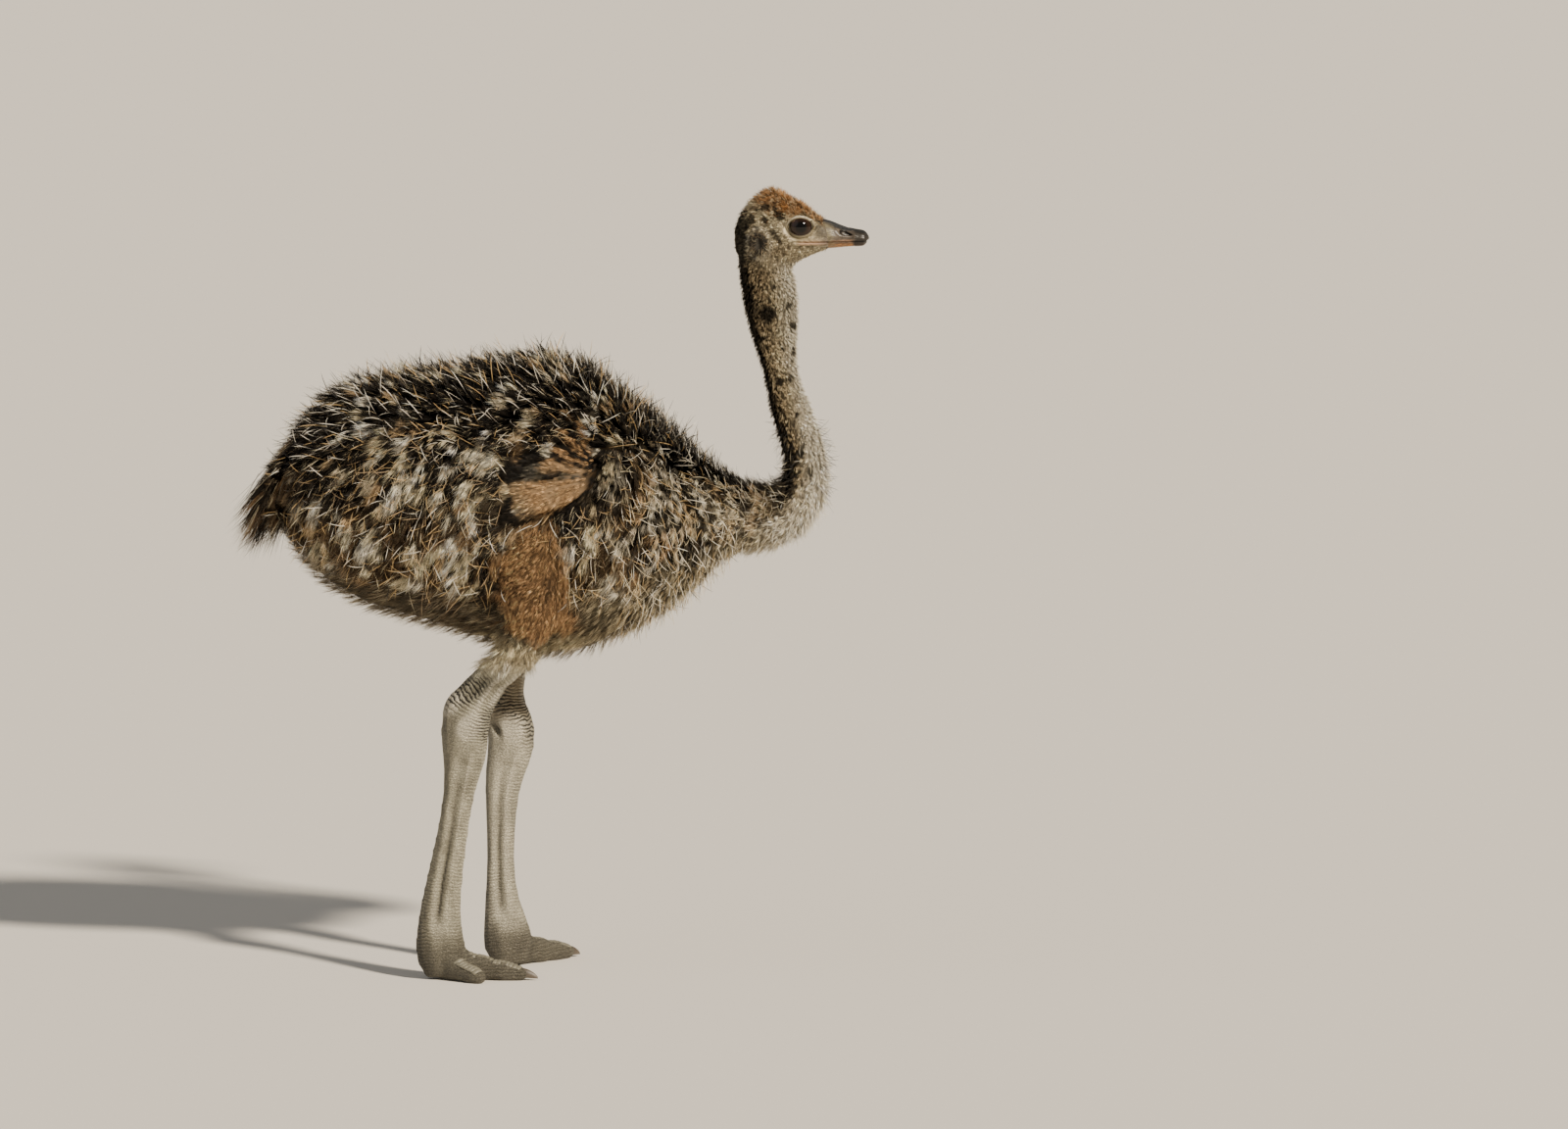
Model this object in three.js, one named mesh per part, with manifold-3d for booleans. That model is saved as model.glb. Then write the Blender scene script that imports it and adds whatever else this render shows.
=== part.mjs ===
// A standing ostrich chick of about two months, life size, in millimetres.
// +X is the way it faces, +Y its left side, +Z up. The floor is z = 0, under the middle of the bird.
// Every solid reaches to the tips of the down, quills and feathers that cover it.
import * as THREE from "three";
import { mergeVertices } from "three/addons/utils/BufferGeometryUtils.js";
import Module from "manifold-3d";

const wasm = await Module();
wasm.setup();

// Driving dimensions.
const SEAM = 0.3; // clear gap between neighbouring parts
const LEFT = 1;
const RIGHT = -1;
const FAR = 900; // half the side of the boxes that cut
const Y_AXIS = new THREE.Vector3(0, 1, 0);
const LOW_DOME = [0.7];
const SMALL = { steps: 2, sides: 6, dome: LOW_DOME };

const SKIN = { color: "#a89c84", roughness: 0.75 };
const DOWN = { color: "#6f6352", roughness: 0.95 };
const PALE_DOWN = { color: "#b3a687", roughness: 0.95 };
const RUFOUS_DOWN = { color: "#8d6544", roughness: 0.95 };
const CROWN_DOWN = { color: "#9a7a52", roughness: 0.95 };
const DARK_DOWN = { color: "#2e2822", roughness: 0.95 };
const HORN = { color: "#77705f", roughness: 0.45 };
const NAIL = { color: "#4a443b", roughness: 0.4 };
const EYE = { color: "#1c130d", roughness: 0.05 };

const bird = new THREE.Group();

// ---------------------------------------------------------------- shapes

// Stations are rows of numbers. The row at share t of the way, smooth through every station.
function rowAt(stations, t) {
  const place = t * (stations.length - 1);
  const before = Math.min(Math.floor(place), stations.length - 2);
  const share = place - before;
  const row = (i) => stations[THREE.MathUtils.clamp(i, 0, stations.length - 1)];
  return stations[0].map((_, column) => {
    const [a, b, c, d] = [-1, 0, 1, 2].map((step) => row(before + step)[column]);
    const bend = 2 * a - 5 * b + 4 * c - d + (3 * (b - c) + d - a) * share;
    return b + 0.5 * share * (c - a + share * bend);
  });
}

// A closed skin over rings of equal length, with a fan over each end.
function skinOver(rings) {
  const sides = rings[0].length;
  const middle = (ring) =>
    ring.reduce((sum, p) => sum.add(p), new THREE.Vector3()).divideScalar(sides);
  const points = [...rings.flat(), middle(rings[0]), middle(rings.at(-1))];
  const faces = [];
  const first = points.length - 2;
  for (let i = 0; i < sides; i++) {
    const next = (i + 1) % sides;
    for (let r = 0; r < rings.length - 1; r++) {
      const [a, b] = [r * sides, (r + 1) * sides];
      faces.push(a + i, a + next, b + next, a + i, b + next, b + i);
    }
    const last = (rings.length - 1) * sides;
    faces.push(first, next, i, first + 1, last + i, last + next);
  }
  const geometry = new THREE.BufferGeometry().setFromPoints(points);
  geometry.setIndex(faces);
  return geometry;
}

// A limb of oval rings through stations [x, y, z, deep, wide]: half sizes across the limb, in the
// plane of bending and along `across`. round is how far each end is domed and dome the heights of
// the dome's rings, grow adds to every half size, sag lowers the widest place, square fills out the
// oval's corners, and groove cuts a furrow down both broad sides.
function limb(stations, options) {
  const {
    steps, sides, round = [8, 8], dome = [0.9, 0.5], grow = 0, sag = 0, groove = 0,
    across = Y_AXIS, upright = false, square = 2,
  } = options;
  const rows = Array.from({ length: steps + 1 }, (_, i) => rowAt(stations, i / steps));
  const places = rows.map(([x, y, z]) => new THREE.Vector3(x, y, z));
  const forward = places.map((_, i) => {
    const way = places[Math.min(i + 1, steps)].clone().sub(places[Math.max(i - 1, 0)]);
    return upright ? new THREE.Vector3(Math.sign(way.x), 0, 0) : way.normalize();
  });
  const power = 2 / square;
  const bent = (v) => Math.sign(v) * Math.abs(v) ** power;
  const ring = (i, shrink, shift) => {
    const wideWay = across.clone().addScaledVector(forward[i], -across.dot(forward[i])).normalize();
    const deepWay = new THREE.Vector3().crossVectors(forward[i], wideWay).normalize();
    if (deepWay.z < 0 && upright) deepWay.negate();
    const [deep, wide] = [(rows[i][3] + grow) * shrink, (rows[i][4] + grow) * shrink];
    return Array.from({ length: sides }, (_, k) => {
      const turn = (2 * Math.PI * (k + 0.5)) / sides;
      const [c, s] = [Math.cos(turn), Math.sin(turn)];
      const furrow = 1 - groove * Math.exp(-(((s - 0.1) / 0.3) ** 2));
      return places[i]
        .clone()
        .addScaledVector(forward[i], shift)
        .addScaledVector(wideWay, wide * bent(c) * furrow)
        .addScaledVector(deepWay, deep * bent(s) - sag * shrink * c * c);
    });
  };
  const cap = (at, height) =>
    dome.map((lift) => ring(at, Math.sqrt(1 - lift * lift), lift * height));
  const start = cap(0, -round[0] - grow);
  const end = cap(steps, round[1] + grow);
  const wall = rows.map((_, i) => ring(i, 1, 0));
  return solid(skinOver([...start, ...wall, ...end.reverse()]));
}

// A solid that booleans can use, turned the right way out.
function solid(geometry) {
  const bare = geometry.clone().deleteAttribute("normal").deleteAttribute("uv");
  const merged = mergeVertices(bare, 1e-3);
  const mesh = (triVerts) =>
    new wasm.Manifold(
      new wasm.Mesh({
        numProp: 3,
        vertProperties: new Float32Array(merged.attributes.position.array),
        triVerts,
      }),
    );
  const faces = Uint32Array.from(merged.index.array);
  const made = mesh(faces);
  return made.volume() < 0 ? mesh(faces.reverse()) : made;
}

function ball(centre, radii, sides, turned = new THREE.Euler()) {
  const geometry = new THREE.SphereGeometry(1, sides, Math.round(sides * 0.7));
  const place = new THREE.Matrix4().compose(
    centre,
    new THREE.Quaternion().setFromEuler(turned),
    radii,
  );
  return solid(geometry.applyMatrix4(place));
}

// The half space beyond a point, as a large box whose near face passes through the point.
function beyond(point, normal) {
  const box = new THREE.BoxGeometry(2 * FAR, 2 * FAR, 2 * FAR).translate(0, 0, FAR);
  const way = normal.clone().normalize();
  const turn = new THREE.Quaternion().setFromUnitVectors(new THREE.Vector3(0, 0, 1), way);
  return solid(box.applyQuaternion(turn).translate(...point.toArray()));
}

const vec = (x, y, z) => new THREE.Vector3(x, y, z);

// The part of a solid on the far side of a plane, and the part on the near side, a seam apart.
function part(whole, point, normal) {
  const way = normal.clone().normalize();
  const far = whole.intersect(beyond(point.clone().addScaledVector(way, SEAM / 2), way));
  const near = whole.subtract(beyond(point.clone().addScaledVector(way, -SEAM / 2), way));
  return [near, far];
}

function add(name, made, finish) {
  const whole = made.decompose().sort((a, b) => b.volume() - a.volume())[0];
  const mesh = whole.getMesh();
  const points = new Float32Array(mesh.numVert * 3);
  for (let i = 0; i < mesh.numVert; i++) {
    points.set(mesh.vertProperties.subarray(i * mesh.numProp, i * mesh.numProp + 3), i * 3);
  }
  const geometry = new THREE.BufferGeometry();
  geometry.setAttribute("position", new THREE.BufferAttribute(points, 3));
  geometry.setIndex(new THREE.BufferAttribute(mesh.triVerts, 1));
  geometry.computeVertexNormals();
  const piece = new THREE.Mesh(geometry, new THREE.MeshStandardMaterial(finish));
  piece.name = name;
  bird.add(piece);
}

const side = (way) => (way === LEFT ? "left" : "right");

// ---------------------------------------------------------------- trunk and neck

// The egg of the body, from the rump to the root of the neck: x, top, bottom, half width.
const TRUNK = [
  [-243, 462, 392, 30],
  [-226, 497, 362, 53],
  [-196, 525, 334, 77],
  [-154, 540, 315, 95],
  [-104, 544, 303, 105],
  [-52, 553, 290, 109],
  [0, 557, 284, 109],
  [44, 540, 291, 104],
  [84, 506, 308, 91],
  [120, 476, 333, 71],
  [148, 452, 363, 46],
  [172, 436, 380, 28],
].map(([x, top, bottom, half]) => [x, 0, (top + bottom) / 2, (top - bottom) / 2, half]);
const TRUNK_SAG = 6;
const trunkShape = limb(TRUNK, {
  steps: 13, sides: 18, round: [16, 6], sag: TRUNK_SAG, upright: true, square: 2.12,
});

// Half width of the trunk at a place on its flank.
function flank(x, z) {
  const share = Array.from({ length: 201 }, (_, i) => i / 200).reduce((best, t) =>
    Math.abs(rowAt(TRUNK, t)[0] - x) < Math.abs(rowAt(TRUNK, best)[0] - x) ? t : best,
  );
  const [, , middle, deep, wide] = rowAt(TRUNK, share);
  const up = Math.min(Math.abs(z - middle + TRUNK_SAG / 2) / deep, 1);
  return wide * Math.sqrt(1 - up * up);
}

// The neck leaves the breast level, turns up in a tight bend and thickens again under the head.
const NECK = [
  [134, 0, 408, 36, 38],
  [156, 0, 407, 35.5, 34],
  [178, 0, 406, 33, 30],
  [199, 0, 411, 30, 26.5],
  [215, 0, 422, 26.5, 23],
  [221, 0, 439, 23.5, 20],
  [221, 0, 457, 21, 18],
  [217, 0, 475, 20, 17],
  [211, 0, 492, 19.8, 16.4],
  [205, 0, 509, 18, 15],
  [201, 0, 526, 16.4, 14.2],
  [197.5, 0, 543, 17.2, 14.6],
  [194.8, 0, 561, 20, 16],
  [192.6, 0, 578, 23.5, 18],
  [190.6, 0, 595, 25.8, 19.2],
  [187.6, 0, 613, 26, 19.8],
  [184.5, 0, 631, 25, 20.4],
  [183, 0, 646, 22, 19],
];
const neckShape = limb(NECK, { steps: 15, sides: 12, round: [14, 10], dome: LOW_DOME });

// ---------------------------------------------------------------- head

// The skull with its short down, from the nape to the root of the bill: x, top, bottom, half width.
const HEAD = [
  [160.8, 667, 640, 8],
  [164, 675, 633, 13],
  [170, 683.5, 629, 17.5],
  [177, 691, 626, 20.5],
  [185, 696.6, 624, 22],
  [193, 698.4, 623, 22.6],
  [201, 695, 624, 22.8],
  [209, 690, 628, 22.4],
  [217, 686, 632.5, 21.4],
  [225, 681, 636.6, 19.8],
  [233, 674.6, 640, 17.8],
  [241, 669.4, 642.8, 15.6],
  [249, 666, 644.6, 13.6],
].map(([x, top, bottom, half]) => [x, 0, (top + bottom) / 2, (top - bottom) / 2, half]);
const BILL_ROOT = { at: vec(240.5, 0, 656), way: vec(1, 0, 0.18) };
const EYE_AT = { x: 216.2, y: 12.4, z: 664.6 };
const EYE_RADIUS = 12;
const EYE_SIDES = 12;
const LID_RADIUS = 10.6;
const LID_THICK = 2.1;
const EYE_TURN = 0.16; // the gaze leans forward, in radians

const gaze = (way) => vec(Math.sin(EYE_TURN), way * Math.cos(EYE_TURN), 0.06).normalize();
const eyeCentre = (way) => vec(EYE_AT.x, way * EYE_AT.y, EYE_AT.z);

// A swelling over the eyeball, and the two lids as one raised ring in front of it.
function orbit(way) {
  const turn = new THREE.Quaternion().setFromUnitVectors(vec(0, 0, 1), gaze(way));
  const ring = new THREE.TorusGeometry(LID_RADIUS, LID_THICK, 5, 12);
  const front = eyeCentre(way).addScaledVector(gaze(way), 7.6);
  const lids = solid(ring.applyQuaternion(turn).translate(...front.toArray()));
  const swelling = ball(
    eyeCentre(way).addScaledVector(gaze(way), -1.5),
    vec(16.6, 10.4, 14.4),
    12,
  );
  return swelling.add(lids);
}

// The slit of the mouth runs back from the bill under the eye.
const gapeSlit = ball(vec(238, 0, 650.6), vec(25, 26, 0.9), 6, new THREE.Euler(0, 0.045, 0));

let headShape = limb(HEAD, {
  steps: 12, sides: 14, round: [2.4, 4], dome: LOW_DOME, upright: true, sag: 1, square: 2.35,
});
for (const way of [LEFT, RIGHT]) headShape = headShape.add(orbit(way));

// The ear lies behind and below the eye, under a low pad of stiff little feathers.
const EAR_AT = vec(180, 18.8, 650);
const EAR_SIZE = vec(6.6, 4.2, 9.4);
const earPad = (way, grow) =>
  ball(
    vec(EAR_AT.x, way * EAR_AT.y, EAR_AT.z),
    EAR_SIZE.clone().addScalar(grow),
    8,
    new THREE.Euler(0, 0.25, 0),
  );

// ---------------------------------------------------------------- parting of head, neck and trunk

let body = trunkShape.add(neckShape).add(headShape).subtract(gapeSlit);
for (const way of [LEFT, RIGHT]) {
  const socket = vec(1, 1, 1).multiplyScalar(EYE_RADIUS + SEAM);
  body = body.subtract(ball(eyeCentre(way), socket, EYE_SIDES)).subtract(earPad(way, SEAM));
}

const NECK_ROOT = vec(155, 0, 408);
const NECK_WAIST = vec(203, 0, 517);
const THROAT = vec(184, 0, 630);
let [trunk, above] = part(body, NECK_ROOT, vec(1, 0, 0));
let [neckLower, rest] = part(above, NECK_WAIST, vec(-0.22, 0, 1));
let [neckUpper, head] = part(rest, THROAT, vec(0.3, 0, 0.95));
[head] = part(head, BILL_ROOT.at, BILL_ROOT.way);

// ---------------------------------------------------------------- bill

// Flat and broad, with a rounded nail at its tip: x, top, mouth line, bottom, half width.
const BILL = [
  [236, 671.4, 651, 642.6, 16.4],
  [246, 668, 651.6, 644.6, 14.4],
  [254, 664.4, 652.2, 645.8, 12],
  [262, 661.4, 652.4, 646.4, 10],
  [268, 660, 652, 646.8, 9.2],
  [272.5, 658.6, 651.4, 647.4, 8.2],
];
const NOSTRIL = { x: 256.5, y: 8.6, z: 659, long: 6.4, high: 1.5, deep: 3.4 };
const LOWER_SET_BACK = 1.5; // the lower bill is a little shorter and narrower
const LOWER_WIDTH = 0.9;
const upperRows = BILL.map(([x, top, mouth, , half]) => [x, 0, mouth, top - mouth, half]);
const lowerRows = BILL.map(([x, , mouth, bottom, half]) => [
  x - LOWER_SET_BACK, 0, mouth, mouth - bottom, half * LOWER_WIDTH,
]);
const billForm = { sides: 12, upright: true, square: 2.3 };
let billUpper = limb(upperRows, { ...billForm, steps: 6, round: [1, 5] });
const billLower = limb(lowerRows, { ...billForm, steps: 5, round: [1, 4.5] });
for (const way of [LEFT, RIGHT]) {
  const centre = vec(NOSTRIL.x, way * NOSTRIL.y, NOSTRIL.z);
  const size = vec(NOSTRIL.long, NOSTRIL.deep, NOSTRIL.high);
  billUpper = billUpper.subtract(ball(centre, size, 6, new THREE.Euler(0, 0.22, way * -0.25)));
}
const MOUTH = vec(238, 0, 651.2);
const MOUTH_SLOPE = 0.02;
const overMouth = beyond(MOUTH.clone().setZ(MOUTH.z + SEAM / 2), vec(-MOUTH_SLOPE, 0, 1));
const underMouth = beyond(MOUTH.clone().setZ(MOUTH.z - SEAM / 2), vec(MOUTH_SLOPE, 0, -1));
const billSpace = beyond(
  BILL_ROOT.at.clone().addScaledVector(BILL_ROOT.way.clone().normalize(), SEAM / 2),
  BILL_ROOT.way,
);

// ---------------------------------------------------------------- wings and tail

// A short flap that hugs the flank, shoulder first: x, z, half height, half thickness.
const WING = [
  [70, 467, 17, 6],
  [46, 466, 25, 9],
  [18, 458, 30, 10.5],
  [-8, 446, 29, 10],
  [-27, 436, 22, 7.5],
];
const WING_LEAN = 0.3; // the flank falls inwards towards the back, in radians
const WING_INSET = 1.5;
// Tips of the wing's soft quills along its rear edge: x, z.
const QUILL_TIPS = [
  [-41, 457],
  [-43, 442],
  [-40, 427],
  [-31, 414],
];
const QUILL_ROOT = { x: 4, z: 450 };
const QUILL = { high: 9.5, thick: 4.2, taper: 0.2 };

const onFlank = (way, x, z) => vec(x, way * (flank(x, z) - WING_INSET), z);

function wing(way, grow) {
  const across = vec(0, way * Math.cos(WING_LEAN), Math.sin(WING_LEAN));
  const rows = WING.map(([x, z, high, thick]) => [...onFlank(way, x, z).toArray(), high, thick]);
  const flap = limb(rows, { steps: 5, sides: 10, round: [10, 8], grow, across, square: 2.2 });
  return QUILL_TIPS.reduce((whole, [x, z]) => {
    const quill = [0, 0.5, 1].map((t) => {
      const place = onFlank(
        way,
        THREE.MathUtils.lerp(QUILL_ROOT.x, x, t),
        THREE.MathUtils.lerp(QUILL_ROOT.z, z, t),
      );
      const size = 1 - QUILL.taper * t * t;
      return [...place.toArray(), QUILL.high * size, QUILL.thick * size];
    });
    return whole.add(limb(quill, { ...SMALL, round: [2, 5], grow, across }));
  }, flap);
}

// The tail is a flat tuft of soft feathers that droops from the rump: x, z, thick, half width, for
// the feather in the middle. The others fan out beside it and end higher.
const TAIL = [
  [-206, 487, 13, 13],
  [-229, 468, 13.5, 15],
  [-244, 444, 12, 15],
  [-256, 417, 9.5, 13],
  [-266, 395, 6.5, 9.5],
  [-274, 379, 3, 4],
];
const TAIL_FEATHERS = 5;
const TAIL_SPREAD = 11; // from feather to feather, at the tip
const TAIL_STEP = 6; // how much shorter each feather is than the one inside it

function tail(grow) {
  const middle = (TAIL_FEATHERS - 1) / 2;
  const feathers = Array.from({ length: TAIL_FEATHERS }, (_, i) => {
    const out = i - middle;
    const rows = TAIL.map(([x, z, thick, wide], row) => {
      const share = row / (TAIL.length - 1);
      const lift = TAIL_STEP * Math.abs(out) * share;
      return [x + 0.5 * lift, out * TAIL_SPREAD * (0.65 + 0.35 * share), z + lift, thick, wide];
    });
    return limb(rows, { ...SMALL, steps: 4, round: [8, 6], grow });
  });
  return feathers.reduce((whole, feather) => whole.add(feather));
}

// ---------------------------------------------------------------- legs

// Each leg is listed from the thigh down, as it stands: x, out from the midline, z, deep, wide.
const THIGH = {
  right: [
    [-8, 74, 436, 25, 22],
    [-12, 81, 410, 34, 29],
    [-14, 85, 376, 37.5, 31],
    [-17, 82, 345, 35.5, 30],
    [-25, 74, 318, 29, 25.5],
    [-38, 62, 295, 22, 20],
    [-51, 54, 275, 17, 16],
  ],
  left: [
    [-2, 74, 436, 25, 22],
    [-5, 81, 410, 34, 29],
    [-7, 85, 376, 37.5, 31],
    [-10, 82, 345, 36, 30],
    [-17, 73, 317, 30, 25.5],
    [-27, 61, 293, 23.5, 20],
    [-38, 53, 271, 18, 16],
  ],
};
const LEG = {
  right: [
    [-47, 55, 281, 15.5, 14],
    [-57, 50, 266, 15.6, 13],
    [-68, 46, 252, 18, 13.4],
    [-75.5, 44, 240, 20.2, 14.6],
    [-78.5, 43, 227, 21, 15.6],
    [-79.3, 42, 213, 20.4, 15.2],
    [-80, 41, 199, 18.8, 13.6],
    [-82, 41, 184, 15.8, 11.2],
    [-85, 40, 165, 13.2, 9.6],
    [-88.5, 40, 143, 12.6, 8.9],
    [-92.5, 40, 119, 13.4, 8.9],
    [-97, 40, 93, 14.8, 9.4],
    [-100.5, 40, 69, 16.6, 10.6],
    [-102, 40, 49, 19, 12.6],
    [-101.5, 40, 33, 21, 14.6],
    [-100, 40, 18, 21.5, 15.4],
  ],
  left: [
    [-39, 54, 276, 15.5, 14],
    [-43, 50, 258, 15.4, 13],
    [-45, 46, 242, 16.4, 13.4],
    [-44, 44, 228, 18.4, 14.6],
    [-40, 43, 214, 20.6, 15.6],
    [-39.5, 42, 202, 20.4, 15.2],
    [-42, 42, 188, 19, 13.6],
    [-45.5, 41, 173, 17, 11.2],
    [-48, 41, 155, 14.6, 9.6],
    [-49, 41, 134, 13, 8.9],
    [-49.5, 41, 111, 11.8, 8.9],
    [-49.5, 41, 87, 11.8, 9.4],
    [-48.8, 41, 64, 13.8, 10.6],
    [-46.5, 41, 46, 17.4, 12.6],
    [-44, 41, 31, 20.6, 14.6],
    [-42.5, 41, 18, 21.5, 15.4],
  ],
};
const SHANK_END = { right: 252, left: 240 };
const HOCK_END = { right: 196, left: 184 };
const TARSUS_END = { right: 46, left: 44 };
const LEG_GROOVE = 0.3;

// Two toes to a foot: a long inner one with a nail and a short outer one. Rows run from the root
// forward: along the toe, height of the centre, half height, half width.
const MAIN_TOE = [
  [4, 16, 17.2, 13],
  [17, 13.5, 13.6, 12.2],
  [28, 11.5, 11, 10.8],
  [37, 10, 11.4, 11.4],
  [46, 8.8, 8.6, 9.6],
  [55, 7.6, 9, 10],
  [64, 6.6, 7.2, 8.4],
  [71, 5.6, 5.6, 6.8],
];
const OUTER_TOE = [
  [6, 12, 13.2, 9],
  [18, 10, 10.4, 8.6],
  [28, 8.2, 8, 7.6],
  [37, 6.6, 8, 7.8],
  [45, 5.4, 5.6, 6],
];
const NAIL_ROWS = [
  [69, 7.6, 3.6, 4.2],
  [75, 7, 3.2, 3.6],
  [80, 5.6, 2.4, 2.6],
  [84, 4, 1.4, 1.5],
];
const MAIN_TOE_TURN = { right: 0.12, left: 0.75 }; // outward, in radians
const OUTER_TOE_TURN = { right: 0.72, left: 1.3 };
const TOE_SQUARE = 2.3;
const MAIN_FORM = { steps: 7, sides: 8, round: [4, 6] };
const OUTER_FORM = { steps: 5, sides: 8, round: [3, 6] };
const NAIL_FORM = { steps: 3, sides: 6, round: [2, 1.6] };
const NAIL_LIFT = 1; // the nails are worn clear of the floor

// A toe or nail set on the foot of one leg, turned outward by an angle.
function toe(rows, way, turn, options) {
  const [x, y] = LEG[side(way)].at(-1);
  const placed = rows.map(([along, z, high, wide]) => [
    x + along * Math.cos(turn), way * (y + along * Math.sin(turn)), z, high, wide,
  ]);
  const across = vec(-Math.sin(turn), way * Math.cos(turn), 0);
  return limb(placed, { ...options, across, dome: LOW_DOME, square: TOE_SQUARE });
}
const overFloor = (height) => beyond(vec(0, 0, height), vec(0, 0, 1));

function leg(way) {
  const name = side(way);
  const mirrored = (rows) => rows.map(([x, y, ...sizes]) => [x, way * y, ...sizes]);
  const thighForm = { steps: 7, sides: 10, round: [14, 6], dome: LOW_DOME };
  const thighRoom = limb(mirrored(THIGH[name]), { ...thighForm, grow: SEAM });
  const legForm = { steps: 17, sides: 10, round: [5, 21], dome: LOW_DOME };
  const smooth = limb(mirrored(LEG[name]), legForm);
  const grooved = limb(mirrored(LEG[name]), { ...legForm, groove: LEG_GROOVE });
  const cut = (whole, height) => part(whole, vec(0, 0, height), vec(0, 0, -1));
  const [shank, underShank] = cut(smooth, SHANK_END[name]);
  const [hock] = cut(underShank, HOCK_END[name]);
  const [, underHock] = cut(grooved, HOCK_END[name]);
  const [tarsus, foot] = cut(underHock, TARSUS_END[name]);
  const [, footRoom] = cut(limb(mirrored(LEG[name]), { ...legForm, grow: SEAM }), TARSUS_END[name] + 1);
  const mainTurn = MAIN_TOE_TURN[name];
  const mainRoom = toe(MAIN_TOE, way, mainTurn, { ...MAIN_FORM, grow: SEAM });
  const nailRoom = toe(NAIL_ROWS, way, mainTurn, { ...NAIL_FORM, grow: SEAM });
  return {
    thigh: limb(mirrored(THIGH[name]), thighForm),
    thighRoom,
    shank: shank.subtract(thighRoom),
    hock,
    tarsus,
    foot: foot.intersect(overFloor(0)),
    mainToe: toe(MAIN_TOE, way, mainTurn, MAIN_FORM)
      .subtract(footRoom)
      .subtract(nailRoom)
      .intersect(overFloor(0)),
    outerToe: toe(OUTER_TOE, way, OUTER_TOE_TURN[name], OUTER_FORM)
      .subtract(footRoom)
      .subtract(mainRoom)
      .intersect(overFloor(0)),
    nail: toe(NAIL_ROWS, way, mainTurn, NAIL_FORM).intersect(overFloor(NAIL_LIFT)),
  };
}

// ---------------------------------------------------------------- assembly

for (const way of [LEFT, RIGHT]) {
  const name = side(way);
  const made = leg(way);
  const wingRoom = wing(way, SEAM);
  trunk = trunk.subtract(made.thighRoom).subtract(wingRoom).subtract(made.shank);
  add(`wing_${name}`, wing(way, 0), RUFOUS_DOWN);
  add(`thigh_${name}`, made.thigh.subtract(wingRoom), RUFOUS_DOWN);
  add(`shank_${name}`, made.shank, SKIN);
  add(`hock_${name}`, made.hock, SKIN);
  add(`tarsus_${name}`, made.tarsus, SKIN);
  add(`foot_${name}`, made.foot, SKIN);
  add(`toe_main_${name}`, made.mainToe, SKIN);
  add(`toe_outer_${name}`, made.outerToe, SKIN);
  add(`nail_${name}`, made.nail, NAIL);
  add(`eye_${name}`, ball(eyeCentre(way), vec(1, 1, 1).multiplyScalar(EYE_RADIUS), EYE_SIDES), EYE);
  add(`ear_${name}`, earPad(way, 0), PALE_DOWN);
}
add("trunk", trunk.subtract(tail(SEAM)), DOWN);
add("tail", tail(0), DARK_DOWN);
add("neck_lower", neckLower, PALE_DOWN);
add("neck_upper", neckUpper, PALE_DOWN);
add("head", head, CROWN_DOWN);
add("bill_upper", billUpper.intersect(billSpace).intersect(overMouth), HORN);
add("bill_lower", billLower.intersect(billSpace).intersect(underMouth), HORN);

export default bird;
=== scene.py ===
# An ostrich chick of about two months, standing: bare scaled legs, a body of dark and cream down
# with stiff curved quills, a speckled neck and a rufous crown. Lengths are in metres.
import itertools
import math

import bmesh
import bpy
import numpy as np
from mathutils import Matrix, Vector
from mathutils.bvhtree import BVHTree


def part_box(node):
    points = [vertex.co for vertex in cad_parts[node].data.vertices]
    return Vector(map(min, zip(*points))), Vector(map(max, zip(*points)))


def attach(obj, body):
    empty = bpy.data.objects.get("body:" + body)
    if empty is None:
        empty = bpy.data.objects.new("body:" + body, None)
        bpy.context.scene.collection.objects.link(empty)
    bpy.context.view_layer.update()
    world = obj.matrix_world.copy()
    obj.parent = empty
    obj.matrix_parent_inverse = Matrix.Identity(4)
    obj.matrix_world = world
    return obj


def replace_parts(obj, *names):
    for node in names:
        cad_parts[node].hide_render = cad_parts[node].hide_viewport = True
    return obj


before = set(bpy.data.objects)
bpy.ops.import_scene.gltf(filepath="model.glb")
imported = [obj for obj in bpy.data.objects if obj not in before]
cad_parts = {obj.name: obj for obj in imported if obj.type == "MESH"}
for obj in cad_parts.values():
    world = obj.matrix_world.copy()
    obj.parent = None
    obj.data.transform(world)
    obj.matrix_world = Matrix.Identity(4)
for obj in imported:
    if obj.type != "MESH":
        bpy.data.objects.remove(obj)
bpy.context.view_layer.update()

# ---------------------------------------------------------------- skin
# The living skin is one sheet from the root of the bill to the toes. It lies inside the solids by
# the depth of the coat, and meets them where the bird is bare: the face and the lower legs.
MM = 0.001
SIDES = {"right": -1.0, "left": 1.0}
LIMBS = ("wing", "thigh", "shank", "hock", "tarsus", "foot", "toe_main", "toe_outer", "ear")
FLESH = ["trunk", "neck_lower", "neck_upper", "head"]
FLESH += [f"{part}_{side}" for side in SIDES for part in LIMBS]
FILLERS = ["tail"] + [f"{part}_{side}" for side in SIDES for part in ("eye", "nail")]
OVERLAP = 0.5 * MM  # how far the copies grow into each other before they are made one
NAIL_SHRINK = 1.7 * MM  # how far the claw's horn stands out from the toe's tip inside it
RUMP_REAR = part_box("trunk")[0].x + 2 * MM  # the tail's fleshy root reaches back to here
RUMP_SHOULDER = 440 * MM  # above this height the rump slopes forwards
RUMP_FOOT = 424 * MM  # below this height the tail hangs free of the rump
SKIN_GRAIN = 2.5 * MM  # the size of the skin's first faces

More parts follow.
